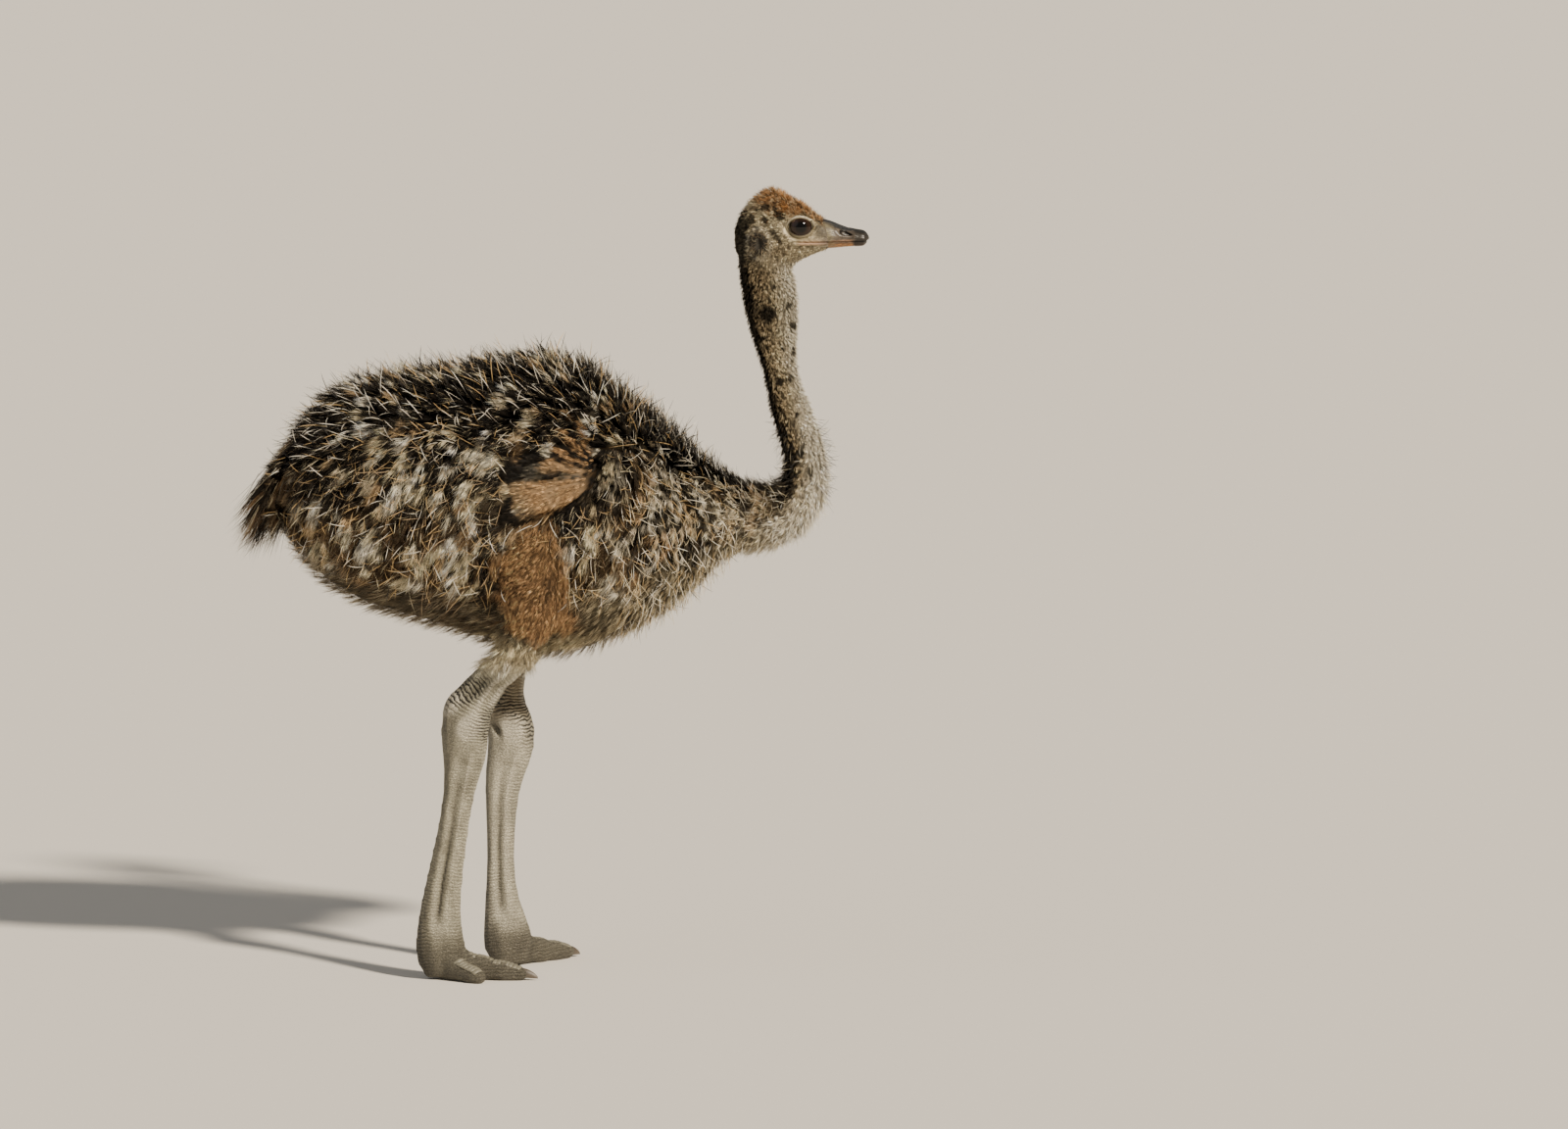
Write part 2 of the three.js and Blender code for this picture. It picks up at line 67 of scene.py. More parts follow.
# the middle of the neck as x and z, from the breast to the skull
NECK = np.array([
    (150, 408), (176, 407), (199, 412), (214, 424), (221, 443), (220, 464), (215, 486), (208, 508),
    (201.5, 526), (197, 543), (194.6, 560), (193, 578), (191, 595), (188.6, 613), (185, 632),
]) * MM
# the middle of each leg: height, x, distance from the middle plane
LEG = {
    "right": np.array([
        (4, -100, 40), (50, -102, 40), (86, -98, 40), (120, -92, 40), (165, -85, 40),
        (199, -80, 41), (225, -78, 43), (250, -69, 46), (275, -51, 54), (318, -25, 74),
    ]) * MM,
    "left": np.array([
        (4, -42, 41), (46, -46.5, 41), (76, -49, 41), (111, -49.5, 41), (155, -48, 41),
        (188, -42, 42), (212, -40, 43), (240, -45, 46), (271, -38, 53), (317, -17, 73),
    ]) * MM,
}
HOCK = {side: sum(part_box(f"hock_{side}"), Vector()).z / 2 for side in SIDES}
BARE_LEG = (272 * MM, 290 * MM)  # the down thins out between these heights
EYE_AT = {side: np.array(sum(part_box(f"eye_{side}"), Vector()) / 2) for side in SIDES}
EAR_AT = {side: np.array(sum(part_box(f"ear_{side}"), Vector()) / 2) for side in SIDES}
BODY_AXIS = 418 * MM  # height of the line that the body's down is laid round


def ease(low, high, x):
    share = np.clip((x - low) / (high - low), 0.0, 1.0)
    return share * share * (3.0 - 2.0 * share)


def hill(x, middle, width):
    """1 at the middle, falling smoothly to nothing at about twice the width."""
    return np.exp(-(((x - middle) / width) ** 2))


def unit(v):
    return v / np.maximum(np.linalg.norm(v, axis=-1, keepdims=True), 1e-12)


def follow(path, flat):
    """Where each place lies beside a path: how far along it in steps, the offset from it, and its
    direction there."""
    best = np.full(len(flat), 1e9)
    along, out, way = np.zeros(len(flat)), np.zeros((len(flat), 2)), np.zeros((len(flat), 2))
    for i, (start, end) in enumerate(zip(path[:-1], path[1:])):
        step = end - start
        t = np.clip((flat - start) @ step / (step @ step), 0.0, 1.0)
        off = flat - start - t[:, None] * step
        gap = np.linalg.norm(off, axis=1)
        closer = gap < best
        best[closer] = gap[closer]
        along[closer] = i + t[closer]
        out[closer] = off[closer]
        way[closer] = step / np.linalg.norm(step)
    return along, out, way


def round_neck(p):
    """Share of the way up the neck, the angle round it from the throat, and the axis' direction."""
    along, out, way = follow(NECK, p[:, [0, 2]])
    ahead = out[:, 0] * way[:, 1] - out[:, 1] * way[:, 0]
    return along / (len(NECK) - 1), np.arctan2(np.abs(p[:, 1]), ahead), way


LEAN_SPAN = 14 * MM  # the leg's lean at each height is taken over this much of it, up and down


def down_leg(p):
    """Height on the leg, tilted as the leg leans there, so that folds run square across it."""
    x, y, z = p.T
    run = np.zeros(len(p))
    for side, way in SIDES.items():
        rows = LEG[side]
        middle = np.interp(z, rows[:, 0], rows[:, 1])
        lean = (np.interp(z + LEAN_SPAN, rows[:, 0], rows[:, 1])
                - np.interp(z - LEAN_SPAN, rows[:, 0], rows[:, 1])) / (2 * LEAN_SPAN)
        run = np.where(np.sign(y) == way, z + lean * (x - middle), run)
    return run


def round_body(p):
    """The angle round the body: 0 on the back, pi under the belly."""
    return np.arctan2(np.abs(p[:, 1]), p[:, 2] - BODY_AXIS)


def from_eye(p):
    """Distance from the eye in the side view, in sizes of its ring of bare skin."""
    x, _, z = p.T / MM
    return np.hypot((x - 216) / 12, (z - 664.5) / 10.2)


def zones(p):
    """How far each place belongs to the neck, the head, the bare face and the bare leg."""
    x, _, z = p.T / MM
    head = ease(622, 642, z) * (x > 100)
    lids = ease(1.14, 1.0, from_eye(p))
    lore = ease(226, 231, x) * ease(2.5, -1.5, z - (668 - 0.5 * (x - 232)))
    gape = ease(4.5, 2.5, np.abs(z - 652)) * ease(207, 215, x)
    face = head * np.maximum(np.maximum(lids, gape), lore * ease(645, 649, z))
    return {"neck": ease(120, 175, x), "head": head, "face": face,
            "leg": ease(BARE_LEG[1] / MM, BARE_LEG[0] / MM, z)}


def wing_share(p):
    """1 on the wing's flap, falling to 0 at 18 mm beyond its edge."""
    x, y, z = p.T / MM
    low, high = 414 + 0.28 * (x + 40), 470 + 0.16 * (x + 40)
    inside = np.minimum.reduce([z - low, high - z, x + 42, 78 - x])
    return ease(-18, 4, inside) * (np.abs(y) > 60)


def thigh_share(p):
    """1 on the short-haired patch of the thigh, a tall oval that leans forward at its foot."""
    x, y, z = p.T / MM
    lean = 0.0055 * np.maximum(357 - z, 0) ** 2
    oval = np.abs((x + 20 - lean) / 31) ** 2.5 + np.abs((z - 352) / 58) ** 2.5
    ragged = 0.1 * np.sin(z / 4.3) * (x < -20) + 0.07 * np.sin(z / 2.1 + x / 3.0)
    return ease(1.15, 0.85, oval ** 0.4 + ragged) * (np.abs(y) > 58)


def coat_depth(p):
    """How deep the skin lies under the tips of the coat."""
    x, _, z = p.T / MM
    zone = zones(p)
    share, _, _ = round_neck(p)
    depth = 11 - 2 * ease(60, 110, x)
    depth += (6 - depth) * np.maximum(thigh_share(p), wing_share(p))
    depth += (5.8 - 3.0 * ease(0.05, 0.5, share) - depth) * zone["neck"]
    depth += (1.4 + 2.6 * ease(660, 685, z) - depth) * zone["head"]
    depth += (0.3 - depth) * zone["face"]
    low = ease(310, 285, z)
    depth += (np.minimum(depth, 7 * ease(BARE_LEG[0] / MM, 300, z)) - depth) * low
    return depth * (1 - zone["leg"]) * MM


flesh = bmesh.new()
for name in FLESH + FILLERS:
    copy = bmesh.new()
    copy.from_mesh(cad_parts[name].data)
    bmesh.ops.remove_doubles(copy, verts=copy.verts, dist=1e-6)
    copy.normal_update()
    if name == "tail":
        for v in copy.verts:
            v.co.z = max(v.co.z, RUMP_FOOT)
            v.co.x = max(v.co.x, RUMP_REAR + 0.5 * max(v.co.z - RUMP_SHOULDER, 0))
    grown = [v.co + v.normal * (-NAIL_SHRINK if "nail" in name else OVERLAP) for v in copy.verts]
    for v, place in zip(copy.verts, grown):
        v.co = place
    merged = bpy.data.meshes.new("merged")
    copy.to_mesh(merged)
    flesh.from_mesh(merged)
    copy.free()
flesh_mesh = bpy.data.meshes.new("flesh")
flesh.to_mesh(flesh_mesh)
flesh.free()
skin = bpy.data.objects.new("skin", flesh_mesh)
bpy.context.scene.collection.objects.link(skin)
remesh = skin.modifiers.new("one_sheet", "REMESH")
remesh.mode = "VOXEL"
remesh.voxel_size = SKIN_GRAIN


def applied(piece):
    """The piece's mesh with its modifiers in it."""
    graph = bpy.context.evaluated_depsgraph_get()
    mesh = bpy.data.meshes.new_from_object(piece.evaluated_get(graph))
    piece.modifiers.clear()
    piece.data = mesh
    return mesh


def places(mesh):
    co = np.empty(len(mesh.vertices) * 3)
    mesh.vertices.foreach_get("co", co)
    return co.reshape(-1, 3)


def normals(mesh):
    way = np.empty(len(mesh.vertices) * 3)
    mesh.vertex_normals.foreach_get("vector", way)
    return way.reshape(-1, 3)


def set_places(mesh, co):
    mesh.vertices.foreach_set("co", co.ravel())
    mesh.update()


def relax(mesh, co, rounds, weight, pull=0.5, push=-0.52):
    """Smooths a surface without shrinking it, by as much as weight says at each vertex."""
    edges = np.empty(len(mesh.edges) * 2, int)
    mesh.edges.foreach_get("vertices", edges)
    a, b = edges.reshape(-1, 2).T
    count = np.bincount(np.r_[a, b], minlength=len(co))[:, None]
    for _ in range(rounds):
        for step in (pull, push):
            total = np.stack([
                np.bincount(a, co[b, k], len(co)) + np.bincount(b, co[a, k], len(co)) for k in range(3)
            ], axis=1)
            co = co + step * weight[:, None] * (total / np.maximum(count, 1) - co)
    return co


COVERED_SHARE = 0.13  # of the faces that stay where the coat hides the skin
COVERED_TOP = 612 * MM  # the skin is hidden from the top of the bare leg to here
INSET_STEPS = 3
mesh = applied(skin)
co = places(mesh)
hides = (co[:, 2] > BARE_LEG[1]) & (co[:, 2] < COVERED_TOP)
covered = skin.vertex_groups.new(name="covered")
covered.add(np.flatnonzero(hides).tolist(), 1.0, "ADD")
thinned = skin.modifiers.new("thinned", "DECIMATE")
thinned.ratio = 1 - (1 - COVERED_SHARE) * np.mean(hides)
thinned.vertex_group = "covered"
mesh = applied(skin)
co = places(mesh)
bare = np.maximum(zones(co)["leg"], zones(co)["head"])
co = relax(mesh, co, 14, 1 - 0.6 * bare)
depth = coat_depth(co)
for _ in range(INSET_STEPS):
    set_places(mesh, co)
    co = co - normals(mesh) * depth[:, None] / INSET_STEPS
    co = relax(mesh, co, 4, 1 - bare)
set_places(mesh, co)


def refine(mesh, wanted):
    """Splits every face whose middle is wanted into four."""
    shape = bmesh.new()
    shape.from_mesh(mesh)
    middles = np.array([f.calc_center_median() for f in shape.faces])
    chosen = [f for f, inside in zip(shape.faces, wanted(middles)) if inside]
    edges = list({e for f in chosen for e in f.edges})
    bmesh.ops.subdivide_edges(shape, edges=edges, cuts=1, use_grid_fill=True)
    shape.to_mesh(mesh)
    shape.free()
    return places(mesh)


def near_face(p, reach):
    """Whether each place is within a reach of the eyes or the side of the face, in mm."""
    x, y, z = p.T / MM
    under_brow = z < 677 - 0.5 * np.maximum(x - 222, 0) + reach
    return (x > 203 - reach) & (z > 647 - reach) & under_brow & (np.abs(y) > 4)


def near_ear(p):
    gaps = [np.linalg.norm(p - EAR_AT[side], axis=1) for side in SIDES]
    return np.minimum(*gaps) < 12 * MM


FOOT_TOP = 34 * MM  # below this the feet need no finer faces, for the plates lie on them
co = refine(mesh, lambda p: ((p[:, 2] < BARE_LEG[1]) & (p[:, 2] > FOOT_TOP)) | near_face(p, 6)
            | near_ear(p))
co = relax(mesh, co, 3, np.maximum(zones(co)["leg"], zones(co)["head"]))
set_places(mesh, co)
co = refine(mesh, lambda p: near_face(p, 0))
co = relax(mesh, co, 3, near_face(co, 0).astype(float))
set_places(mesh, co)

# the face: sockets that hug the eyeballs, the lips of the gape, a hollow lore and the ear's hole
EYE_RADIUS = (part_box("eye_left")[1].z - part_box("eye_left")[0].z) / 2
EYE_OPENING = (10.2 * MM, 7.5 * MM)  # half the width and half the height of the lids' opening
GAZE = {side: unit(np.array([0.03, way, 0.06])) for side, way in SIDES.items()}


def eye_axes(side):
    """Forward along the slit of the lids, upward, and out along the gaze."""
    gaze = GAZE[side]
    forward = unit(np.array([1.0, 0.0, 0.0]) - gaze * gaze[0])
    upward = np.cross(gaze, forward)
    return np.stack([forward, upward * np.sign(upward[2]), gaze])


def eye_plane(p, side):
    """How far forward, up and out each place lies from the eye's centre."""
    return ((p - EYE_AT[side]) @ eye_axes(side).T).T


def from_eye_plane(ahead, above, out, side):
    """The places with those distances from the eye's centre."""
    return EYE_AT[side] + np.stack([ahead, above, out], axis=-1) @ eye_axes(side)


def eyeball_height(ahead, above):
    return np.sqrt(np.maximum(EYE_RADIUS ** 2 - ahead ** 2 - above ** 2, (5 * MM) ** 2))


GAPE_END = 208 * MM  # where the corner of the mouth is


def finest(p):
    """Whether each place is close to an eye's opening or to the gape."""
    x, y, z = p.T
    inside = (x > GAPE_END - 3 * MM) & (np.abs(z - 651 * MM) < 2.4 * MM)
    for side, way in SIDES.items():
        ahead, above, out = eye_plane(p, side)
        inside |= (out > 0) & (y * way > 2 * MM) & (
            np.abs(np.hypot(ahead / EYE_OPENING[0], above / EYE_OPENING[1]) - 1.2) < 0.4)
    return inside


co = refine(mesh, finest)
co = relax(mesh, co, 3, finest(co).astype(float))
for side, way in SIDES.items():
    ahead, above, out = eye_plane(co, side)
    ring = np.hypot(ahead / EYE_OPENING[0], above / EYE_OPENING[1])
    shown = (out > 0) & (co[:, 1] * way > 2 * MM) & (ring < 2.2)
    ball = eyeball_height(ahead, above)
    wanted = np.where(ring < 1.0, ball - 1.6 * MM, ball + 0.35 * MM)
    share = ease(1.75, 1.2, ring) * shown
    moved = out + share * (wanted - out)
    co = np.where(shown[:, None], from_eye_plane(ahead, above, moved, side), co)
set_places(mesh, co)
x, y, z = co.T / MM
from_gape = z - (650.8 + 0.9 * ease(232, 206, x))
on_gape = ease(GAPE_END / MM, GAPE_END / MM + 6, x) * (np.abs(y) > 5) * (z > 640)
shift = on_gape * (0.75 * hill(from_gape, 0, 2.6) - 1.9 * hill(from_gape, 0, 0.75))
shift -= 0.9 * hill(x, 232, 5) * hill(z, 659, 4.5) * (np.abs(y) > 4)
shift += 0.22 * zones(co)["face"] * np.sin((z + 0.5 * x) / 0.42) * hill(x, 214, 16) * hill(z, 652.5, 3)
for side in SIDES:
    away = (co - EAR_AT[side]) / MM
    hole = np.hypot(away[:, 0] / 3.3, away[:, 2] / 6.5)
    shift = shift + (np.abs(away[:, 1]) < 9) * (0.9 * hill(hole, 1.45, 0.4) - 3.6 * ease(1.1, 0.5, hole))


# the legs: knuckles at the hock, deep grooves between bone and tendons, and plump folds of skin
def beside_leg(p, side):
    """Whether each place is on that side, and how far it lies ahead of the leg's middle, outward of
    it and above the hock, in mm."""
    x, y, z = p.T
    middle_x, middle_y = (np.interp(z, LEG[side][:, 0], LEG[side][:, k]) for k in (1, 2))
    way = SIDES[side]
    return np.sign(y) == way, (x - middle_x) / MM, (y * way - middle_y) / MM, (z - HOCK[side]) / MM


# grooves between the bones and tendons: angle round the leg, width, both in degrees, and depth in mm
GROOVES = ((100, 27, 4.4), (-100, 25, 3.8), (30, 9, 0.8), (-34, 9, 0.8), (158, 10, 0.9))


def leg_relief(p):
    """How far the leg's skin stands out or lies in, in mm, and how far it is creased, from 0 to 1."""
    z = p[:, 2] / MM
    relief, creased = np.zeros(len(p)), np.zeros(len(p))
    for side in SIDES:
        mine, ahead, outward, over = beside_leg(p, side)
        mine = mine & (z < 292)
        turn = np.degrees(np.arctan2(outward, ahead))  # 0 ahead, 90 outward, 180 behind
        around = np.abs(turn)
        groove = sum(deep * hill(turn, middle, width) for middle, width, deep in GROOVES)
        ridge = 0.9 * (hill(turn, 66, 13) + hill(turn, -66, 13)) + 0.6 * hill(around, 136, 9)
        ridge = ridge + 0.5 * hill(turn, 0, 16)
        shank = ease(36, 62, z) * ease(-8, -30, over) * (ridge - groove * (0.5 + 0.5 * ease(185, 95, z)))
        knuckles = 2.4 * (hill(turn, 80, 34) + hill(turn, -80, 34)) * hill(over, 3, 11)
        heel = 2.2 * hill(around, 180, 45) * hill(over, 22, 9)
        hollow = 3.4 * (hill(turn, 118, 17) + hill(turn, -118, 17)) * hill(over, 34, 13)
        strings = hill(turn, 35, 10) + hill(turn, -30, 10) + hill(turn, 75, 10)
        strings = 1.3 * strings * ease(14, 26, over)
        cleft = 2.6 * hill(turn, 20, 16) * hill(over, -6, 6)
        cleft = cleft + 4.5 * hill(turn + over * 1.5, -138, 13) * hill(over, 1, 6)
        relief += mine * (shank + knuckles + heel + strings - hollow - cleft)
        folded = 1.7 * hill(around, 145, 52) * hill(over, 33, 13)
        folded += 1.5 * hill(turn, 5, 55) * hill(over, 6, 15)
        folded += 0.9 * hill(turn, -75, 45) * hill(over, 18, 10)
        ringed = 0.28 * hill(turn, 0, 55) + 0.4 * hill(around, 180, 60) * ease(130, 60, z)
        creased += mine * (folded + ringed + 0.1)
    return relief, np.clip(creased, 0, 1)


leg_shift, leg_creases = leg_relief(co)
shift = shift + leg_shift
co = co + normals(mesh) * (shift * MM)[:, None]
set_places(mesh, co)
mesh.shade_smooth()

# ---------------------------------------------------------------- markings
# The pattern of the coat and of the skin under it: black on the back, cream tufts among black on
# the flanks, buff wings, rusty thighs, a cream neck with black spots and a rufous crown. Every
# function here takes places in metres, and works in millimetres inside.
BLACK = "#151310"
DARK = "#2b2620"
BROWN = "#574734"
EARTH = "#7c6a50"
TAN = "#b49a78"
BUFF = "#bb956a"
CREAM = "#d6c9a8"
PALE = "#ece4d0"
RUST = "#a98762"
DEEP_RUST = "#977555"
ORANGE = "#a97037"
SLATE = "#3a3733"
LEG_GREY = "#cbc5ad"
LEG_SHADE = "#5d584a"
BARE_FACE = "#8d8468"
LIP_PINK = "#a07c62"
BILL_SIDE = "#463f38"
FLANK_LIE = math.radians(66)  # how steeply the down of the flanks hangs, below level
TUFT = 12.5  # mm, from one pale tuft of the body to the next
TUFT_SQUEEZE = 0.55  # a tuft's width as a share of its length
wing_low, wing_high = (np.array(corner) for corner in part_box("wing_left"))
WING_ROOT = np.array([0.74, 0.5, 0.6]) * (wing_high - wing_low) + wing_low


def linear(code):
    """An sRGB hex colour as linear light."""
    srgb = np.array([int(code[i:i + 2], 16) for i in (1, 3, 5)]) / 255
    return np.where(srgb < 0.04045, srgb / 12.92, ((srgb + 0.055) / 1.055) ** 2.4)


def chance(cell, seed, turn):
    """A number from 0 to 1 that belongs to a cell of space, always the same for the same cell."""
    mixed = cell[:, 0] * 73856093 ^ cell[:, 1] * 19349663 ^ cell[:, 2] * 83492791
    mixed = (mixed ^ (seed * 668265263 + turn * 374761393)) & 0xFFFFFFFF
    mixed = ((mixed ^ (mixed >> 13)) * 1274126177) & 0xFFFFFFFF
    return ((mixed ^ (mixed >> 16)) & 0xFFFFFF) / 0xFFFFFF


def clumps(p, size, seed):
    """Distance to the nearest of scattered centres, in sizes, and that centre's own two numbers.
    The size is in mm."""
    q = p / (size * MM)
    home = np.floor(q).astype(np.int64)
    best, luck, tone = np.full(len(p), 9.0), np.zeros(len(p)), np.zeros(len(p))
    for step in itertools.product((-1, 0, 1), repeat=3):
        cell = home + np.array(step)
        centre = cell + np.stack([chance(cell, seed, k) for k in range(3)], axis=1)
        gap = np.linalg.norm(q - centre, axis=1)
        closer = gap < best
        best = np.where(closer, gap, best)
        luck = np.where(closer, chance(cell, seed, 3), luck)
        tone = np.where(closer, chance(cell, seed, 4), tone)
    return best, luck, tone


def drift(p, size, seed):
    """Smooth noise from -1 to 1 with features of about the size, in mm."""
    q = p / (size * MM)
    home = np.floor(q).astype(np.int64)
    t = q - home
    t = t * t * (3 - 2 * t)
    total = np.zeros(len(p))
    for step in itertools.product((0, 1), repeat=3):
        weight = np.prod(np.where(np.array(step) == 1, t, 1 - t), axis=1)
        total += weight * chance(home + np.array(step), seed, 0)
    return total * 2 - 1


def blend(colour, *turns):
    """The colour, turned to each next one by the share that follows it. Each is a hex code, or has
    a row of linear light for each place."""
    colour = linear(colour)[None] if isinstance(colour, str) else colour
    for dye, share in zip(turns[::2], turns[1::2]):
        dye = linear(dye)[None] if isinstance(dye, str) else dye
        colour = colour + (dye - colour) * np.atleast_1d(share)[:, None]
    return colour


def body_colour(p):
    """Back, flanks, breast, belly and rump."""
    x, _, z = p.T / MM
    turn = round_body(p)
    c, s = math.cos(FLANK_LIE), math.sin(FLANK_LIE)
    lying = p @ np.array([[-TUFT_SQUEEZE * c, 0, -s], [0, 1, 0], [-TUFT_SQUEEZE * s, 0, c]])
    wobble = np.stack([drift(p, 26, 31 + k) for k in range(3)], axis=1) * 4 * MM
    gap, luck, tone = clumps(lying + wobble, TUFT, 7)
    wanted = 0.26 + 0.12 * ease(0.35, 0.75, turn) + 0.42 * ease(0.75, 1.2, turn)
    wanted -= 0.2 * ease(30, 70, x) * ease(0.9, 0.5, turn)
    wanted -= 0.25 * ease(90, 125, x) * ease(1.1, 0.8, turn)
    wanted += 0.06 * drift(p, 60, 3) - 0.3 * ease(-185, -225, x)
    wanted += 0.15 * ease(20, 80, x) * ease(0.5, 1.0, turn)
    tuft = ease(0.6, 0.52, gap) * (luck < wanted)
    pale = blend(BROWN, TAN, ease(0.0, 0.15, tone), CREAM, ease(0.15, 0.45, tone),
                 PALE, ease(0.5, 0.9, tone), TAN, 0.35 * ease(0.0, 0.5, drift(p, 34, 44)))
    dark = blend(BLACK, DARK, 0.5 + 0.5 * drift(p, 9, 12),
                 BROWN, 0.65 * ease(1.35, 2.0, turn + 0.25 * drift(p, 15, 13)))
    front = ease(40, 95, x) * ease(0.7, 1.1, turn + 0.2 * drift(p, 12, 52) - 0.25 * ease(70, 110, x))
    fleck, fleck_luck, fleck_tone = clumps(lying, 9.5, 19)
    breast = blend(RUST, TAN, ease(0.0, 0.25, fleck_tone), PALE, 0.8 * ease(0.25, 0.8, fleck_tone),
                   CREAM, 0.4 * ease(95, 130, x),
                   BLACK, 0.95 * ease(0.7, 0.6, fleck) * (fleck_luck < 0.6))
    under = ease(2.15, 2.55, turn + 0.12 * drift(p, 20, 9))
    # the belly is darkened as painted shade, 0.3 of the way to DARK
    belly = blend(BROWN, CREAM, 0.18 + 0.24 * drift(p, 16, 8), DARK, 0.3, CREAM, 0.4 * ease(0, 60, x))
    rump = ease(-195, -240, x + 0.2 * (z - 400)) * ease(0.6, 0.9, turn)
    return blend(dark, pale, tuft, breast, 0.85 * front, belly, under,
                 blend(BROWN, DARK, 0.6 + 0.4 * drift(p, 8, 51)), 0.9 * rump)


def wing_colour(p, around):
    """The two buff flaps, the black between them, the grey-black below them with painted shade where the
    wing meets the thigh, and the streaks that fan out above.
    """
    x, y, z = p.T / MM
    back, above = WING_ROOT[0] / MM - x, z - WING_ROOT[2] / MM
    fan = np.degrees(np.arctan2(above, back)) + 2.5 * drift(p, 7, 4)
    far = np.hypot(back, above) + 2.5 * drift(p, 5, 34)
    dark = blend(BLACK, DARK, 0.5 + 0.5 * drift(p, 7, 12))
    buff = blend(BUFF, TAN, 0.5 + 0.5 * drift(p, 9, 35), RUST, 0.3 * ease(60, 30, far),
                 CREAM, 0.2 * ease(66, 82, far))
    streaks = blend(RUST, BUFF, 0.6, dark, ease(0.35, 0.65, 0.5 + 0.5 * np.sin(np.radians(fan) * 26)))

    def wedge(low, high, near, end):
        across = ease(low - 2, low + 2, fan) * ease(high + 2, high - 2, fan)
        return across * ease(near - 5, near + 3, far) * ease(end + 3, end - 4, far) * (np.abs(y) > 60)

    # the grey-black wedge below the flaps: dark down, with painted shade where the wing meets the thigh
    return blend(around, dark, 0.9 * wedge(-64, 14, 10, 76),
                 blend(SLATE, BLACK, 0.45), wedge(-64, -40, 40, 76), streaks, wedge(12, 52, 8, 54),
                 buff, wedge(-36, -7, 22, 86), buff, wedge(2, 12, 8, 60))


def thigh_colour(p, around):
    """The short rusty hair of the thigh, paler above, with a streak below, and painted shadow over dark
    down in the gap behind it and along its top.
    """
    x, y, z = p.T / MM
    outer = np.abs(y) > 50
    rust = blend(RUST, DEEP_RUST, 0.5 + 0.5 * drift(p, 16, 6), BUFF, 0.35 * ease(360, 320, z),
                 BUFF, 0.75 * ease(345, 390, z + 8 * drift(p, 8, 36)),
                 CREAM, 0.8 * hill(np.hypot(x + 44, z - 402), 0, 9),
                 BROWN, 0.25 + 0.3 * drift(p * [1, 1, 0.4], 4, 81),
                 DARK, 0.5 * hill(x - 0.25 * (z - 380), 2, 4) * ease(330, 350, z))
    # painted shadow over dark down, in the gap behind the thigh and along its top under the wing
    gap = ease(-70, -64, x) * ease(-44, -50, x) * ease(322, 345, z) * ease(448, 425, z)
    gap = np.maximum(gap, hill(z, 414, 5) * ease(-55, -40, x) * ease(22, 8, x))
    streak = hill(x - 0.12 * (315 - z), 11, 7) * hill(z, 314, 20)
    blot = hill(np.hypot(x - 54, z - 441), 0, 17)
    return blend(around, blend(BLACK, DARK, 0.4), 0.95 * outer * gap,
                 blend(ORANGE, RUST, 0.5), 0.85 * outer * streak, DARK, 0.85 * outer * blot,
                 rust, thigh_share(p))


# black spots down each side of the neck: x, z and radius in mm
SPOTS = (
    (187.5, 587, 6.8), (205.5, 594, 2.8), (209.7, 576, 3.2), (211, 552, 3.6), (198.6, 527, 3.2),
    (206.9, 527.5, 2.2), (214, 497, 3.0), (209.5, 490, 2.2), (216.5, 463.5, 3.6), (174, 600, 3.2),
    (193, 611, 2.4), (226, 447, 2.6), (201, 556, 1.8), (184, 566, 2.2),
)


def spotted(p, spots):
    """1 in the spots seen from the side, 0 outside them, with soft uneven rims."""
    x, y, z = p.T / MM
    inside = np.zeros(len(p))
    for middle_x, middle_z, size in spots:
        near = np.hypot(x - middle_x, z - middle_z) + 0.7 * drift(p, 2.2, 58)
        inside = np.maximum(inside, ease(1.35 * size, 0.85 * size, near))
    return inside * (np.abs(y) > 4)


def neck_colour(p, around):
    """Cream with rows of black spots, paler in front, with a dark nape that widens to the back."""
    share, turn, _ = round_neck(p)
    nape = ease(2.25, 2.6, turn + 0.2 * drift(p, 6, 17) + 0.9 * ease(0.42, 0.12, share))
    return blend(EARTH, CREAM, 0.5 + 0.34 * drift(p, 4, 21), PALE, 0.6 * ease(1.6, 0.4, turn),
                 PALE, 0.6 * ease(0.56, 0.36, share) * ease(0.0, 0.12, share) * ease(2.1, 1.2, turn),
                 EARTH, 0.5 * ease(1.2, 2.1, turn),
                 BROWN, 0.3 * ease(0.72, 0.95, share) * ease(0.8, 2.0, turn),
                 BLACK, 0.94 * spotted(p, SPOTS), blend(BLACK, DARK, 0.5), 0.95 * nape,
                 around, ease(0.16, 0.02, share))


# black flecks behind and over each eye: x, z and radius in mm
FLECKS = (
    (185, 681, 2.8), (196, 675, 3.0), (200, 673.5, 2.3), (185, 670, 2.9), (203.3, 667, 2.1),
    (174, 671, 2.8), (192.5, 660, 2.6), (195.5, 656, 2.5), (199, 652, 2.2), (170, 655, 3.0),
)


